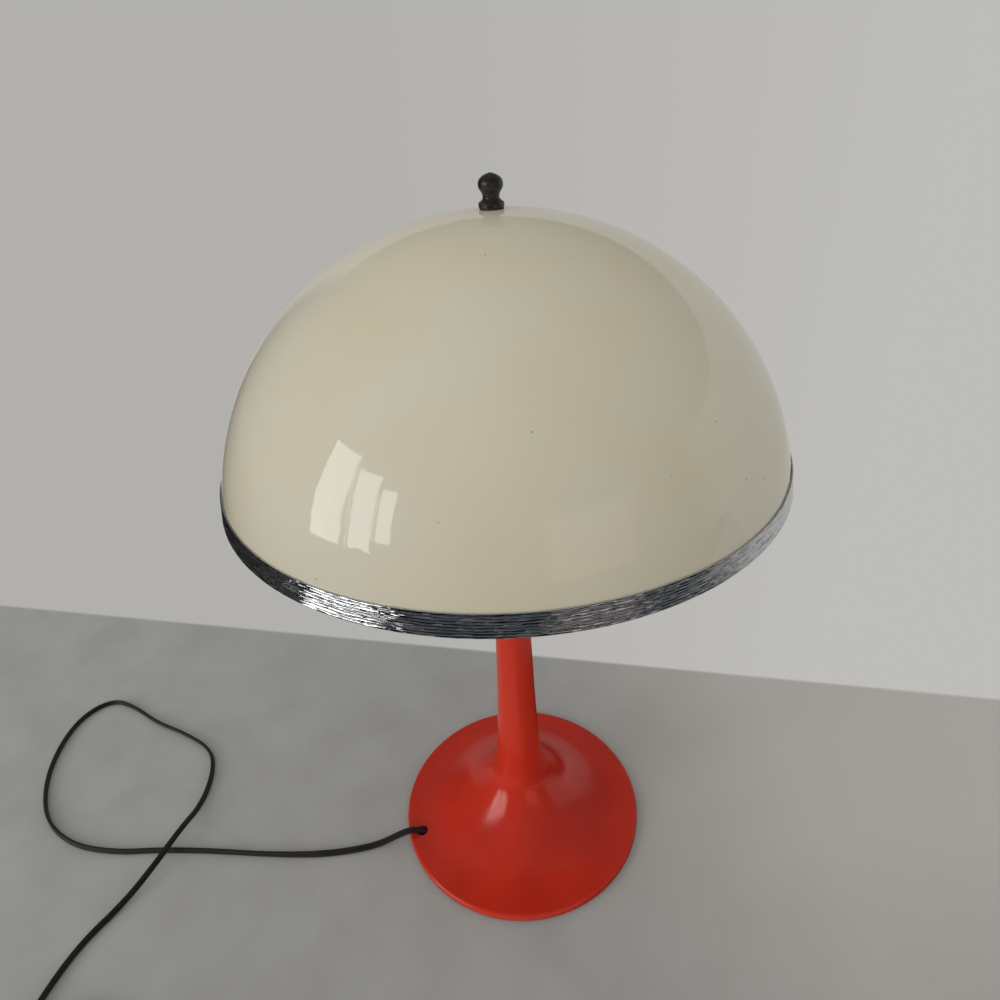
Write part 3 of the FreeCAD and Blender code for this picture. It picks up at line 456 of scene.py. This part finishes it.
def makeFelt(look):
    material, tree, place = startMaterial("pressedFelt")
    strands = []
    for stretch in look["stretches"]:
        drawn = addNode(tree, "Mapping", {"Vector": place, "Scale": stretch})
        strands.append(addNode(tree, "TexNoise", {"Vector": drawn, **look["strand"]}))
    matted = addNode(tree, "Math", {0: strands[0], 1: strands[1]}, operation="MAXIMUM")
    lit = addNode(tree, "MapRange", {"Value": matted, **look["lit"]})
    colour = addNode(tree, "Mix", {"Factor": lit, "A": look["colour"], "B": look["fibre"]}, data_type="RGBA")
    surface = addNode(tree, "Bump", {"Height": matted, "Distance": look["fibreDepth"]})
    shader = addNode(tree, "BsdfPrincipled", {"Base Color": colour, "Normal": surface, **look["nap"]})
    addNode(tree, "OutputMaterial", {"Surface": shader})
    return material


materials["felt"] = makeFelt(pressedFelt)


# hardboard: brown pressed wood fibre, drawn coarse enough to show, a little polished by the press
hardboard = {
    "colour": "#6a482f", "fibre": "#8b6748", "stretch": (1, 0.3, 1),
    "strand": {"Scale": perMetre(0.6), "Detail": 5, "Roughness": 0.65}, "fibreDepth": metres(0.05),
    "lit": {"From Min": 0.4, "From Max": 0.7},
    "polish": {"Scale": perMetre(12), "Detail": 3},
    "gloss": {"From Min": 0.3, "From Max": 0.7, "To Min": 0.6, "To Max": 0.8}, "ior": 1.5,
}


def makeHardboard(look):
    material, tree, place = startMaterial("hardboard")
    drawn = addNode(tree, "Mapping", {"Vector": place, "Scale": look["stretch"]})
    fibre = addNode(tree, "TexNoise", {"Vector": drawn, **look["strand"]})
    lit = addNode(tree, "MapRange", {"Value": fibre, **look["lit"]})
    colour = addNode(tree, "Mix", {"Factor": lit, "A": look["colour"], "B": look["fibre"]}, data_type="RGBA")
    surface = addNode(tree, "Bump", {"Height": fibre, "Distance": look["fibreDepth"]})
    polish = addNode(tree, "TexNoise", {"Vector": place, **look["polish"]})
    gloss = addNode(tree, "MapRange", {"Value": polish, **look["gloss"]})
    shader = addNode(tree, "BsdfPrincipled", {"Base Color": colour, "Roughness": gloss, "Normal": surface,
                                              "IOR": look["ior"]})
    addNode(tree, "OutputMaterial", {"Surface": shader})
    return material


materials["fibreboard"] = makeHardboard(hardboard)


# one recipe for the metals, in millimetres: colour, tarnish in patches, and the lines that the tool
# left, which are drawn coarse enough to show
metals = {
    # plated in zinc: bluish grey with dull clouds
    "zinc_steel": {"name": "zincPlatedSteel", "colour": "#b9bcc0", "tarnish": "#8f9298", "patch": 7,
                   "line": 0.5, "lineDepth": 0.01, "gloss": (0.34, 0.5), "along": (1, 1, 0.25)},
    # turned and polished brass: warm yellow, fine rings from the lathe
    "polished_brass": {"name": "polishedBrass", "colour": "#dcb566", "tarnish": "#a5793c", "patch": 9,
                       "line": 0.35, "lineDepth": 0.006, "gloss": (0.14, 0.3), "along": (0.08, 0.08, 1)},
    # drawn wire and strip with a brass plating: duller, lines along the draw
    "brass_plate": {"name": "brassPlatedSteel", "colour": "#cda862", "tarnish": "#8f713f", "patch": 6,
                    "line": 0.5, "lineDepth": 0.008, "gloss": (0.24, 0.42), "along": (1, 1, 0.08)},
    # rolled screw cap of aluminium: pale, lightly brushed
    "bulb_aluminium": {"name": "rolledAluminium", "colour": "#d3d4d6", "tarnish": "#a9aaad", "patch": 5,
                       "line": 0.4, "lineDepth": 0.006, "gloss": (0.24, 0.4), "along": (0.08, 0.08, 1)},
    # soft solder, set from a drop: dull silver with a frozen, uneven skin
    "solder": {"name": "softSolder", "colour": "#bfc0c2", "tarnish": "#8b8c90", "patch": 2,
               "line": 1.2, "lineDepth": 0.08, "gloss": (0.3, 0.5), "along": (1, 1, 1)},
    # drawn tungsten: dark grey, slightly rough
    "tungsten": {"name": "drawnTungsten", "colour": "#8b8986", "tarnish": "#6a6764", "patch": 1.5,
                 "line": 0.3, "lineDepth": 0.01, "gloss": (0.4, 0.55), "along": (1, 1, 1)},
}
metalWear = {
    "patch": {"Detail": 5, "Roughness": 0.6},
    "dulled": {"From Min": 0.52, "From Max": 0.72, "To Max": 0.8},
    "rubbed": {"From Min": 0.35, "From Max": 0.65},
}


def makeMetal(look, wear):
    material, tree, place = startMaterial(look["name"])
    patches = addNode(tree, "TexNoise", {"Vector": place, "Scale": perMetre(look["patch"]), **wear["patch"]})
    dulled = addNode(tree, "MapRange", {"Value": patches, **wear["dulled"]})
    colour = addNode(tree, "Mix", {"Factor": dulled, "A": look["colour"], "B": look["tarnish"]},
                     data_type="RGBA")
    drawn = addNode(tree, "Mapping", {"Vector": place, "Scale": look["along"]})
    lines = addNode(tree, "TexNoise", {"Vector": drawn, "Scale": perMetre(look["line"])})
    surface = addNode(tree, "Bump", {"Height": lines, "Distance": metres(look["lineDepth"])})
    smooth, rough = look["gloss"]
    gloss = addNode(tree, "MapRange", {"Value": patches, "To Min": smooth, "To Max": rough, **wear["rubbed"]})
    shader = addNode(tree, "BsdfPrincipled", {"Base Color": colour, "Metallic": 1.0, "Roughness": gloss,
                                              "Normal": surface})
    addNode(tree, "OutputMaterial", {"Surface": shader})
    return material


for slotName, look in metals.items():
    materials[slotName] = makeMetal(look, metalWear)


# chrome on pressed brass strip: a mirror that long shallow dents and rubbing break up,
# with a few pits, and hair scratches drawn coarse enough to show
chromeStrip = {
    "colour": "#d0d2d6", "dull": "#8d8f94", "wear": {"Scale": perMetre(1.3), "Detail": 2},
    "pits": {"From Min": 0.7, "From Max": 0.74, "To Max": 0.85},
    "bent": (0.12, 0.12, 1), "dent": {"Scale": perMetre(1.1), "Detail": 1}, "dentDepth": metres(0.6),
    "drawn": (0.08, 0.08, 1), "scratch": {"Scale": perMetre(0.4)}, "scratchDepth": metres(0.0008),
    "rub": {"Scale": perMetre(1.6), "Detail": 4, "Roughness": 0.6},
    "gloss": {"From Min": 0.48, "From Max": 0.66, "To Min": 0.03, "To Max": 0.2},
}


def makeChrome(look):
    material, tree, place = startMaterial("chromedStrip")
    wear = addNode(tree, "TexNoise", {"Vector": place, **look["wear"]})
    pits = addNode(tree, "MapRange", {"Value": wear, **look["pits"]})
    colour = addNode(tree, "Mix", {"Factor": pits, "A": look["colour"], "B": look["dull"]}, data_type="RGBA")
    bent = addNode(tree, "Mapping", {"Vector": place, "Scale": look["bent"]})
    dents = addNode(tree, "TexNoise", {"Vector": bent, **look["dent"]})
    wavy = addNode(tree, "Bump", {"Height": dents, "Distance": look["dentDepth"]})
    drawn = addNode(tree, "Mapping", {"Vector": place, "Scale": look["drawn"]})
    scratches = addNode(tree, "TexNoise", {"Vector": drawn, **look["scratch"]})
    surface = addNode(tree, "Bump", {"Height": scratches, "Distance": look["scratchDepth"], "Normal": wavy})
    rubbed = addNode(tree, "TexNoise", {"Vector": bent, **look["rub"]})
    gloss = addNode(tree, "MapRange", {"Value": rubbed, **look["gloss"]})
    shader = addNode(tree, "BsdfPrincipled", {"Base Color": colour, "Metallic": 1.0, "Roughness": gloss,
                                              "Normal": surface})
    addNode(tree, "OutputMaterial", {"Surface": shader})
    return material


materials["chrome_trim"] = makeChrome(chromeStrip)


# opal acrylic, blown into a dome: ivory, deep gloss, with fine wiping scratches, a little dust
# and a few specks, all drawn coarse enough to show
opalAcrylic = {
    "colour": "#cac4b2", "warm": "#c9c1a9",
    "cloud": {"Scale": perMetre(90), "Detail": 2}, "clouded": {"From Min": 0.35, "From Max": 0.65},
    "dust": "#d8d3c4", "grain": {"Scale": perMetre(1.1), "Detail": 2},
    "dusted": {"From Min": 0.7, "From Max": 0.78, "To Max": 0.3},
    "speck": "#6f6a5c", "spot": {"Scale": perMetre(2.6), "Detail": 0},
    "specked": {"From Min": 0.892, "From Max": 0.905, "To Max": 0.7},
    "drawn": (1, 0.1, 0.1), "scratch": {"Scale": perMetre(0.5)}, "scratchDepth": metres(0.0012),
    "wiping": {"Scale": perMetre(30), "Detail": 5, "Roughness": 0.6},
    "gloss": {"From Min": 0.4, "From Max": 0.75, "To Min": 0.025, "To Max": 0.07}, "ior": 1.49,
}


def makeAcrylic(look):
    material, tree, place = startMaterial("opalAcrylic")
    cloud = addNode(tree, "TexNoise", {"Vector": place, **look["cloud"]})
    clouded = addNode(tree, "MapRange", {"Value": cloud, **look["clouded"]})
    body = addNode(tree, "Mix", {"Factor": clouded, "A": look["colour"], "B": look["warm"]}, data_type="RGBA")
    grains = addNode(tree, "TexNoise", {"Vector": place, **look["grain"]})
    dust = addNode(tree, "MapRange", {"Value": grains, **look["dusted"]})
    dusty = addNode(tree, "Mix", {"Factor": dust, "A": body, "B": look["dust"]}, data_type="RGBA")
    spots = addNode(tree, "TexNoise", {"Vector": place, **look["spot"]})
    specks = addNode(tree, "MapRange", {"Value": spots, **look["specked"]})
    colour = addNode(tree, "Mix", {"Factor": specks, "A": dusty, "B": look["speck"]}, data_type="RGBA")
    drawn = addNode(tree, "Mapping", {"Vector": place, "Scale": look["drawn"]})
    scratches = addNode(tree, "TexNoise", {"Vector": drawn, **look["scratch"]})
    surface = addNode(tree, "Bump", {"Height": scratches, "Distance": look["scratchDepth"]})
    wiping = addNode(tree, "TexNoise", {"Vector": place, **look["wiping"]})
    gloss = addNode(tree, "MapRange", {"Value": wiping, **look["gloss"]})
    shader = addNode(tree, "BsdfPrincipled", {"Base Color": colour, "Roughness": gloss, "Normal": surface,
                                              "IOR": look["ior"]})
    addNode(tree, "OutputMaterial", {"Surface": shader})
    return material


materials["ivory_acrylic"] = makeAcrylic(opalAcrylic)


# the dark and plain mouldings share one recipe, in millimetres: a bloom, a gloss, and a grain that
# is drawn coarse enough to show
mouldings = {
    # turned ball with black lacquer: half gloss, a few dust specks
    "black_gloss": {"name": "blackLacquer", "colour": "#1d1b1a", "bloom": "#2f2c29", "bloomSize": 5,
                    "grain": 0.8, "grainDepth": 0.006, "gloss": (0.26, 0.4), "ior": 1.5},
    # moulded phenolic: near black, faint brown flow marks, good gloss
    "black_phenolic": {"name": "mouldedPhenolic", "colour": "#171311", "bloom": "#2b201a", "bloomSize": 4,
                       "grain": 1.5, "grainDepth": 0.004, "gloss": (0.16, 0.3), "ior": 1.6},
    # rubber washers: matt black with a greyish bloom
    "black_rubber": {"name": "mouldedRubber", "colour": "#1b1a19", "bloom": "#33312f", "bloomSize": 3,
                     "grain": 0.4, "grainDepth": 0.02, "gloss": (0.65, 0.85), "ior": 1.52},
    # extruded vinyl of the cord: dark brown black, satin, lightly dusty
    "cord_vinyl": {"name": "extrudedVinyl", "colour": "#151211", "bloom": "#211c19", "bloomSize": 16,
                   "grain": 0.5, "grainDepth": 0.01, "gloss": (0.5, 0.66), "ior": 1.53},
    # moulded vinyl of the plug: the same, with the grain of a spark-eroded mould
    "plug_vinyl": {"name": "mouldedVinyl", "colour": "#1b1816", "bloom": "#2c2825", "bloomSize": 12,
                   "grain": 0.6, "grainDepth": 0.03, "gloss": (0.48, 0.66), "ior": 1.53},
    # black glass that insulates the bulb's contact: fire polished
    "black_glass": {"name": "blackGlass", "colour": "#0b0b10", "bloom": "#16161d", "bloomSize": 2,
                    "grain": 2.5, "grainDepth": 0.01, "gloss": (0.06, 0.12), "ior": 1.52},
    # pressed paper liner: grey brown board with short fibres
    "pressed_paper": {"name": "pressedPaper", "colour": "#a18c68", "bloom": "#7d6848", "bloomSize": 3,
                      "grain": 0.45, "grainDepth": 0.04, "gloss": (0.75, 0.92), "ior": 1.5},
}
mouldingWear = {
    "bloom": {"Detail": 5, "Roughness": 0.6},
    "dusted": {"From Min": 0.42, "From Max": 0.7},
    "rubbed": {"From Min": 0.35, "From Max": 0.65},
}


def makeMoulding(look, wear):
    material, tree, place = startMaterial(look["name"])
    bloom = addNode(tree, "TexNoise", {"Vector": place, "Scale": perMetre(look["bloomSize"]),
                                       **wear["bloom"]})
    dusted = addNode(tree, "MapRange", {"Value": bloom, **wear["dusted"]})
    colour = addNode(tree, "Mix", {"Factor": dusted, "A": look["colour"], "B": look["bloom"]},
                     data_type="RGBA")
    grain = addNode(tree, "TexNoise", {"Vector": place, "Scale": perMetre(look["grain"])})
    surface = addNode(tree, "Bump", {"Height": grain, "Distance": metres(look["grainDepth"])})
    smooth, rough = look["gloss"]
    gloss = addNode(tree, "MapRange", {"Value": bloom, "To Min": smooth, "To Max": rough, **wear["rubbed"]})
    shader = addNode(tree, "BsdfPrincipled", {"Base Color": colour, "Roughness": gloss, "Normal": surface,
                                              "IOR": look["ior"]})
    addNode(tree, "OutputMaterial", {"Surface": shader})
    return material


for slotName, look in mouldings.items():
    materials[slotName] = makeMoulding(look, mouldingWear)


# bulb glass, etched inside: white and soft, light passes through as a glow
etchedGlass = {
    "colour": "#f0eee8", "shade": "#e4e1d8", "cloud": {"Scale": perMetre(12), "Detail": 3},
    "etch": {"Scale": perMetre(0.7), "Detail": 3}, "etchDepth": metres(0.01),
    "gloss": {"From Min": 0.3, "From Max": 0.7, "To Min": 0.3, "To Max": 0.42},
    "glow": {"IOR": 1.52, "Transmission Weight": 0.45, "Coat Weight": 0.6, "Coat Roughness": 0.05},
}


def makeEtchedGlass(look):
    material, tree, place = startMaterial("etchedGlass")
    cloud = addNode(tree, "TexNoise", {"Vector": place, **look["cloud"]})
    colour = addNode(tree, "Mix", {"Factor": cloud, "A": look["colour"], "B": look["shade"]},
                     data_type="RGBA")
    etch = addNode(tree, "TexNoise", {"Vector": place, **look["etch"]})
    surface = addNode(tree, "Bump", {"Height": etch, "Distance": look["etchDepth"]})
    gloss = addNode(tree, "MapRange", {"Value": etch, **look["gloss"]})
    shader = addNode(tree, "BsdfPrincipled", {"Base Color": colour, "Roughness": gloss, "Normal": surface,
                                              **look["glow"]})
    addNode(tree, "OutputMaterial", {"Surface": shader})
    return material


materials["frosted_glass"] = makeEtchedGlass(etchedGlass)
print("materials made:", len(materials))


def dressNodes():
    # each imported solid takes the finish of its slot
    for part in frame["record"]["subparts"]:
        for slot in nodes[part["node"]].material_slots:
            slot.material = materials[part["material_slot"]]


def dressPiece(piece, slotName, *replaced):
    piece.data.materials.append(materials[slotName])
    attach(piece, "base")
    if replaced:
        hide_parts(*replaced)


dressNodes()
dressPiece(cordPiece, "cord_vinyl", "cord", "cord_coil", "cord_tail")
dressPiece(plugRelief, "plug_vinyl", "plug_relief")
dressPiece(plugBody, "plug_vinyl", "plug_body")
dressPiece(tiePiece, "plug_vinyl")
print("solids dressed")


# the wall behind the table, and the rest of the room that shiny things mirror
room = {
    # painted light on the wall: it is coloured lighter towards the right
    "wall": "#b2b0ac", "wallLitRight": "#bebdb9", "rightShare": {"From Min": -0.2, "From Max": 0.6},
    # what follows goes by the direction looked in: right, back and up are each 1 at most
    "upper": "#787873", "upperStart": {"From Min": 0.350, "From Max": 0.366},
    "dark": "#0b0b0d", "front": {"From Min": -0.1, "From Max": -0.35},
    "left": {"From Min": -0.42, "From Max": -0.54, "To Max": 0.9},
    "lowDown": {"From Min": 0.35, "From Max": 0.85, "To Min": 1.0, "To Max": 0.35},
    "dusk": "#27313e", "duskStart": {"From Min": -0.6, "From Max": -0.45},
    "curtain": "#cdbdb5", "curtainStart": {"From Min": 0.20, "From Max": 0.26},
    "curtainEnd": {"From Min": 0.74, "From Max": 0.68}, "curtainTop": {"From Min": 0.34, "From Max": 0.28},
}


def seenRays(tree):
    # what eyes, metal and glass see, as against what lights the object
    rays = addNode(tree, "LightPath").outputs
    first = addNode(tree, "Math", {0: rays["Is Camera Ray"], 1: rays["Is Glossy Ray"]}, operation="MAXIMUM")
    return addNode(tree, "Math", {0: first, 1: rays["Is Transmission Ray"]}, operation="MAXIMUM")


def wallColour(tree, look, sideways, away):
    # painted light: the wall is coloured lighter towards the right
    depth = addNode(tree, "Math", {0: away}, operation="ABSOLUTE")
    slope = addNode(tree, "Math", {0: sideways, 1: depth}, operation="DIVIDE")
    share = addNode(tree, "MapRange", {"Value": slope, **look["rightShare"]})
    return addNode(tree, "Mix", {"Factor": share, "A": look["wall"], "B": look["wallLitRight"]},
                   data_type="RGBA")


# the pale, matt table top, in metres
paleTable = {
    "size": 6.0, "under": 0.0002,          # so far under the lamp's felt
    "colour": "#a6a6a2", "cloudColour": "#9f9e9a",
    "cloud": {"Scale": perMetre(60), "Detail": 4}, "clouded": {"From Min": 0.35, "From Max": 0.65},
    # painted light: the table is coloured lighter towards the back right
    "paintedLight": "#bfbab4", "rightward": {"From Min": 0.02, "From Max": 0.26},
    "backward": {"From Min": -0.26, "From Max": -0.04, "To Min": 0.25},
    "grain": {"Scale": perMetre(2.5), "Detail": 3, "Roughness": 0.6}, "grainDepth": metres(0.06),
    "matt": {"Roughness": 0.75, "IOR": 1.5},
    "wallTurn": -11.45,                    # degrees that the wall's foot runs askew
    "wallStart": {"From Min": 0.1901, "From Max": 0.1941},
    "fadeFrom": 0.4,                       # the wall's tone fans out from so far in front of the lamp
    "frontEdge": {"From Min": -0.40, "From Max": -0.43},
    "leftEdge": {"From Min": -0.52, "From Max": -0.55},
    "cornerWay": (1, 0.53, 0), "corner": {"From Min": -0.24, "From Max": -0.36},
    "underShade": {"From Min": 0.30, "From Max": 0.20}, "rightHalf": {"From Min": -0.01, "From Max": 0.05},
}


def tableTop(tree, place, right, back, look):
    # a mottled grey, with painted light that makes it lighter towards the back right
    cloud = addNode(tree, "TexNoise", {"Vector": place, **look["cloud"]})
    clouded = addNode(tree, "MapRange", {"Value": cloud, **look["clouded"]})
    mottled = addNode(tree, "Mix", {"Factor": clouded, "A": look["colour"], "B": look["cloudColour"]},
                      data_type="RGBA")
    rightward = addNode(tree, "MapRange", {"Value": right, **look["rightward"]})
    backward = addNode(tree, "MapRange", {"Value": back, **look["backward"]})
    paintedLight = addNode(tree, "Math", {0: rightward, 1: backward}, operation="MULTIPLY")
    colour = addNode(tree, "Mix", {"Factor": paintedLight, "A": mottled, "B": look["paintedLight"]}, data_type="RGBA")
    grain = addNode(tree, "TexNoise", {"Vector": place, **look["grain"]})
    surface = addNode(tree, "Bump", {"Height": grain, "Distance": look["grainDepth"]})
    return addNode(tree, "BsdfPrincipled", {"Base Color": colour, "Normal": surface, **look["matt"]})


def mirroredDark(tree, place, right, back, behind, look):
    # metal and gloss mirror the dark room beyond the table's front and left edges, and round
    # the wall's left end
    frontEdge = addNode(tree, "MapRange", {"Value": back, **look["frontEdge"]})
    leftEdge = addNode(tree, "MapRange", {"Value": right, **look["leftEdge"]})
    offTable = addNode(tree, "Math", {0: frontEdge, 1: leftEdge}, operation="MAXIMUM")
    before = addNode(tree, "Math", {0: 1.0, 1: behind}, operation="SUBTRACT")
    ahead = addNode(tree, "Math", {0: offTable, 1: before}, operation="MULTIPLY")
    cornerWay = addNode(tree, "VectorMath", {0: place, 1: look["cornerWay"]}, operation="DOT_PRODUCT")
    corner = addNode(tree, "MapRange", {"Value": cornerWay, **look["corner"]})
    around = addNode(tree, "Math", {0: corner, 1: behind}, operation="MULTIPLY")
    edges = addNode(tree, "Math", {0: ahead, 1: around}, operation="MAXIMUM")
    # they also mirror the lamp's own shade, which falls away from the window
    near = addNode(tree, "MapRange", {"Value": fromAxis(tree, place), **look["underShade"]})
    aside = addNode(tree, "MapRange", {"Value": right, **look["rightHalf"]})
    shaded = addNode(tree, "Math", {0: near, 1: aside}, operation="MULTIPLY")
    unlit = addNode(tree, "Math", {0: edges, 1: shaded}, operation="MAXIMUM")
    glossy = addNode(tree, "LightPath").outputs["Is Glossy Ray"]
    return addNode(tree, "Math", {0: unlit, 1: glossy}, operation="MULTIPLY")


def makeFloor(look, beyond):
    material, tree, place = startMaterial("paleTable")
    right, back = addNode(tree, "SeparateXYZ", {0: place}).outputs[:2]
    table = tableTop(tree, place, right, back, look)
    # the wall's tone is painted on the plane behind the line where the wall stands
    turn = math.radians(look["wallTurn"])
    along = addNode(tree, "VectorMath", {0: place, 1: (-math.sin(turn), math.cos(turn), 0)},
                    operation="DOT_PRODUCT")
    behind = addNode(tree, "MapRange", {"Value": along, **look["wallStart"]})
    away = addNode(tree, "Math", {0: back, 1: look["fadeFrom"]}, operation="ADD")
    wall = addNode(tree, "Emission", {"Color": wallColour(tree, beyond, right, away), "Strength": 1.0})
    wallShown = addNode(tree, "Math", {0: behind, 1: seenRays(tree)}, operation="MULTIPLY")
    withWall = addNode(tree, "MixShader", {0: wallShown, 1: table, 2: wall})
    darkShown = mirroredDark(tree, place, right, back, behind, look)
    dark = addNode(tree, "Emission", {"Color": beyond["dark"], "Strength": 1.0})
    surfaceShown = addNode(tree, "MixShader", {0: darkShown, 1: withWall, 2: dark})
    addNode(tree, "OutputMaterial", {"Surface": surfaceShown})
    mesh = bpy.data.meshes.new("paleTable")
    half = look["size"] / 2
    mesh.from_pydata([(-half, -half, 0), (half, -half, 0), (half, half, 0), (-half, half, 0)], [],
                     [(0, 1, 2, 3)])
    mesh.materials.append(material)
    floor = linkObject("paleTable", mesh)
    floor.location.z = -look["under"]


makeFloor(paleTable, room)


# studio light: a soft level all round, and a window of three panes and two slits at the left
studio = {
    "towards": (-0.45, -0.87, 0.05),       # where the soft light is strongest
    "level": {"From Min": -1.0, "From Max": 1.0, "To Min": 0.43, "To Max": 0.88},
    "panes": [
        {"place": (-3.989, -1.631, 1.414), "up": (0.202, 0.115, 0.973), "height": 2.446, "width": 0.986},
        {"place": (-3.549, -2.588, 1.343), "up": (0.136, 0.175, 0.975), "height": 2.125, "width": 0.717},
        {"place": (-3.138, -3.160, 1.446), "up": (0.143, 0.194, 0.971), "height": 1.506, "width": 0.446},
        # slits of light between a pane and its frame
        {"place": (-3.736, -2.180, 1.27), "up": (0.136, 0.175, 0.975), "height": 2.1, "width": 0.03},
        {"place": (-3.305, -2.927, 1.36), "up": (0.143, 0.194, 0.971), "height": 1.3, "width": 0.03},
    ],
    "paneLevel": 4.2,
    "paneColour": (1.0, 0.985, 0.955),
    "aim": (0, 0, 0.42),                   # the panes face this point in the shade
}


def mirroredRoom(tree, wall, right, back, up, look):
    # the wall low down at the back, darker above it, and a dark room in front and at the left
    above = addNode(tree, "MapRange", {"Value": up, **look["upperStart"]})
    backSide = addNode(tree, "Mix", {"Factor": above, "A": wall, "B": look["upper"]}, data_type="RGBA")
    front = addNode(tree, "MapRange", {"Value": back, **look["front"]})
    left = addNode(tree, "MapRange", {"Value": right, **look["left"]})
    aside = addNode(tree, "Math", {0: front, 1: left}, operation="MAXIMUM")
    lowDown = addNode(tree, "MapRange", {"Value": up, **look["lowDown"]})
    darkness = addNode(tree, "Math", {0: aside, 1: lowDown}, operation="MULTIPLY")
    # that room is black at the left and dusky from there to the right, where a pale curtain stands
    dusky = addNode(tree, "MapRange", {"Value": right, **look["duskStart"]})
    unlit = addNode(tree, "Mix", {"Factor": dusky, "A": look["dark"], "B": look["dusk"]}, data_type="RGBA")
    curtainStart = addNode(tree, "MapRange", {"Value": right, **look["curtainStart"]})
    curtainEnd = addNode(tree, "MapRange", {"Value": right, **look["curtainEnd"]})
    curtainTop = addNode(tree, "MapRange", {"Value": up, **look["curtainTop"]})
    curtainSides = addNode(tree, "Math", {0: curtainStart, 1: curtainEnd}, operation="MULTIPLY")
    curtain = addNode(tree, "Math", {0: curtainSides, 1: curtainTop}, operation="MULTIPLY")
    frontSide = addNode(tree, "Mix", {"Factor": curtain, "A": unlit, "B": look["curtain"]}, data_type="RGBA")
    return addNode(tree, "Mix", {"Factor": darkness, "A": backSide, "B": frontSide}, data_type="RGBA")


def makeWorld(look, light):
    world = bpy.data.worlds.new("studioRoom")
    bpy.context.scene.world = world
    world.use_nodes = True
    tree = world.node_tree
    tree.nodes.clear()
    way = addNode(tree, "TexCoord").outputs["Generated"]
    right, back, up = addNode(tree, "SeparateXYZ", {0: way}).outputs
    wall = wallColour(tree, look, right, back)
    mirrored = mirroredRoom(tree, wall, right, back, up, look)
    cameraSees = addNode(tree, "LightPath").outputs["Is Camera Ray"]
    seen = addNode(tree, "Mix", {"Factor": cameraSees, "A": mirrored, "B": wall}, data_type="RGBA")
    facing = addNode(tree, "VectorMath", {0: way, 1: light["towards"]}, operation="DOT_PRODUCT")
    level = addNode(tree, "MapRange", {"Value": facing, **light["level"]})
    fill = addNode(tree, "Background", {"Color": "#ffffff", "Strength": level})
    shown = addNode(tree, "Background", {"Color": seen, "Strength": 1.0})
    either = addNode(tree, "MixShader", {0: seenRays(tree), 1: fill, 2: shown})
    addNode(tree, "OutputWorld", {"Surface": either})


def makePanes(light):
    for number, pane in enumerate(light["panes"]):
        lamp = bpy.data.lights.new("windowPane%d" % number, "AREA")
        lamp.shape = "RECTANGLE"
        lamp.size = pane["width"]
        lamp.size_y = pane["height"]
        lamp.color = light["paneColour"]
        # every pane is equally bright to look at, whatever its size
        lamp.energy = light["paneLevel"] * math.pi * pane["width"] * pane["height"]
        thing = linkObject(lamp.name, lamp)
        back = (Vector(pane["place"]) - Vector(light["aim"])).normalized()
        side = Vector(pane["up"]).cross(back).normalized()
        axes = Matrix((side, back.cross(side), back)).transposed()
        thing.matrix_world = Matrix.Translation(pane["place"]) @ axes.to_4x4()


makeWorld(room, studio)
makePanes(studio)
bpy.context.scene.view_settings.view_transform = "Standard"
print("lights set")


bpy.context.view_layer.update()
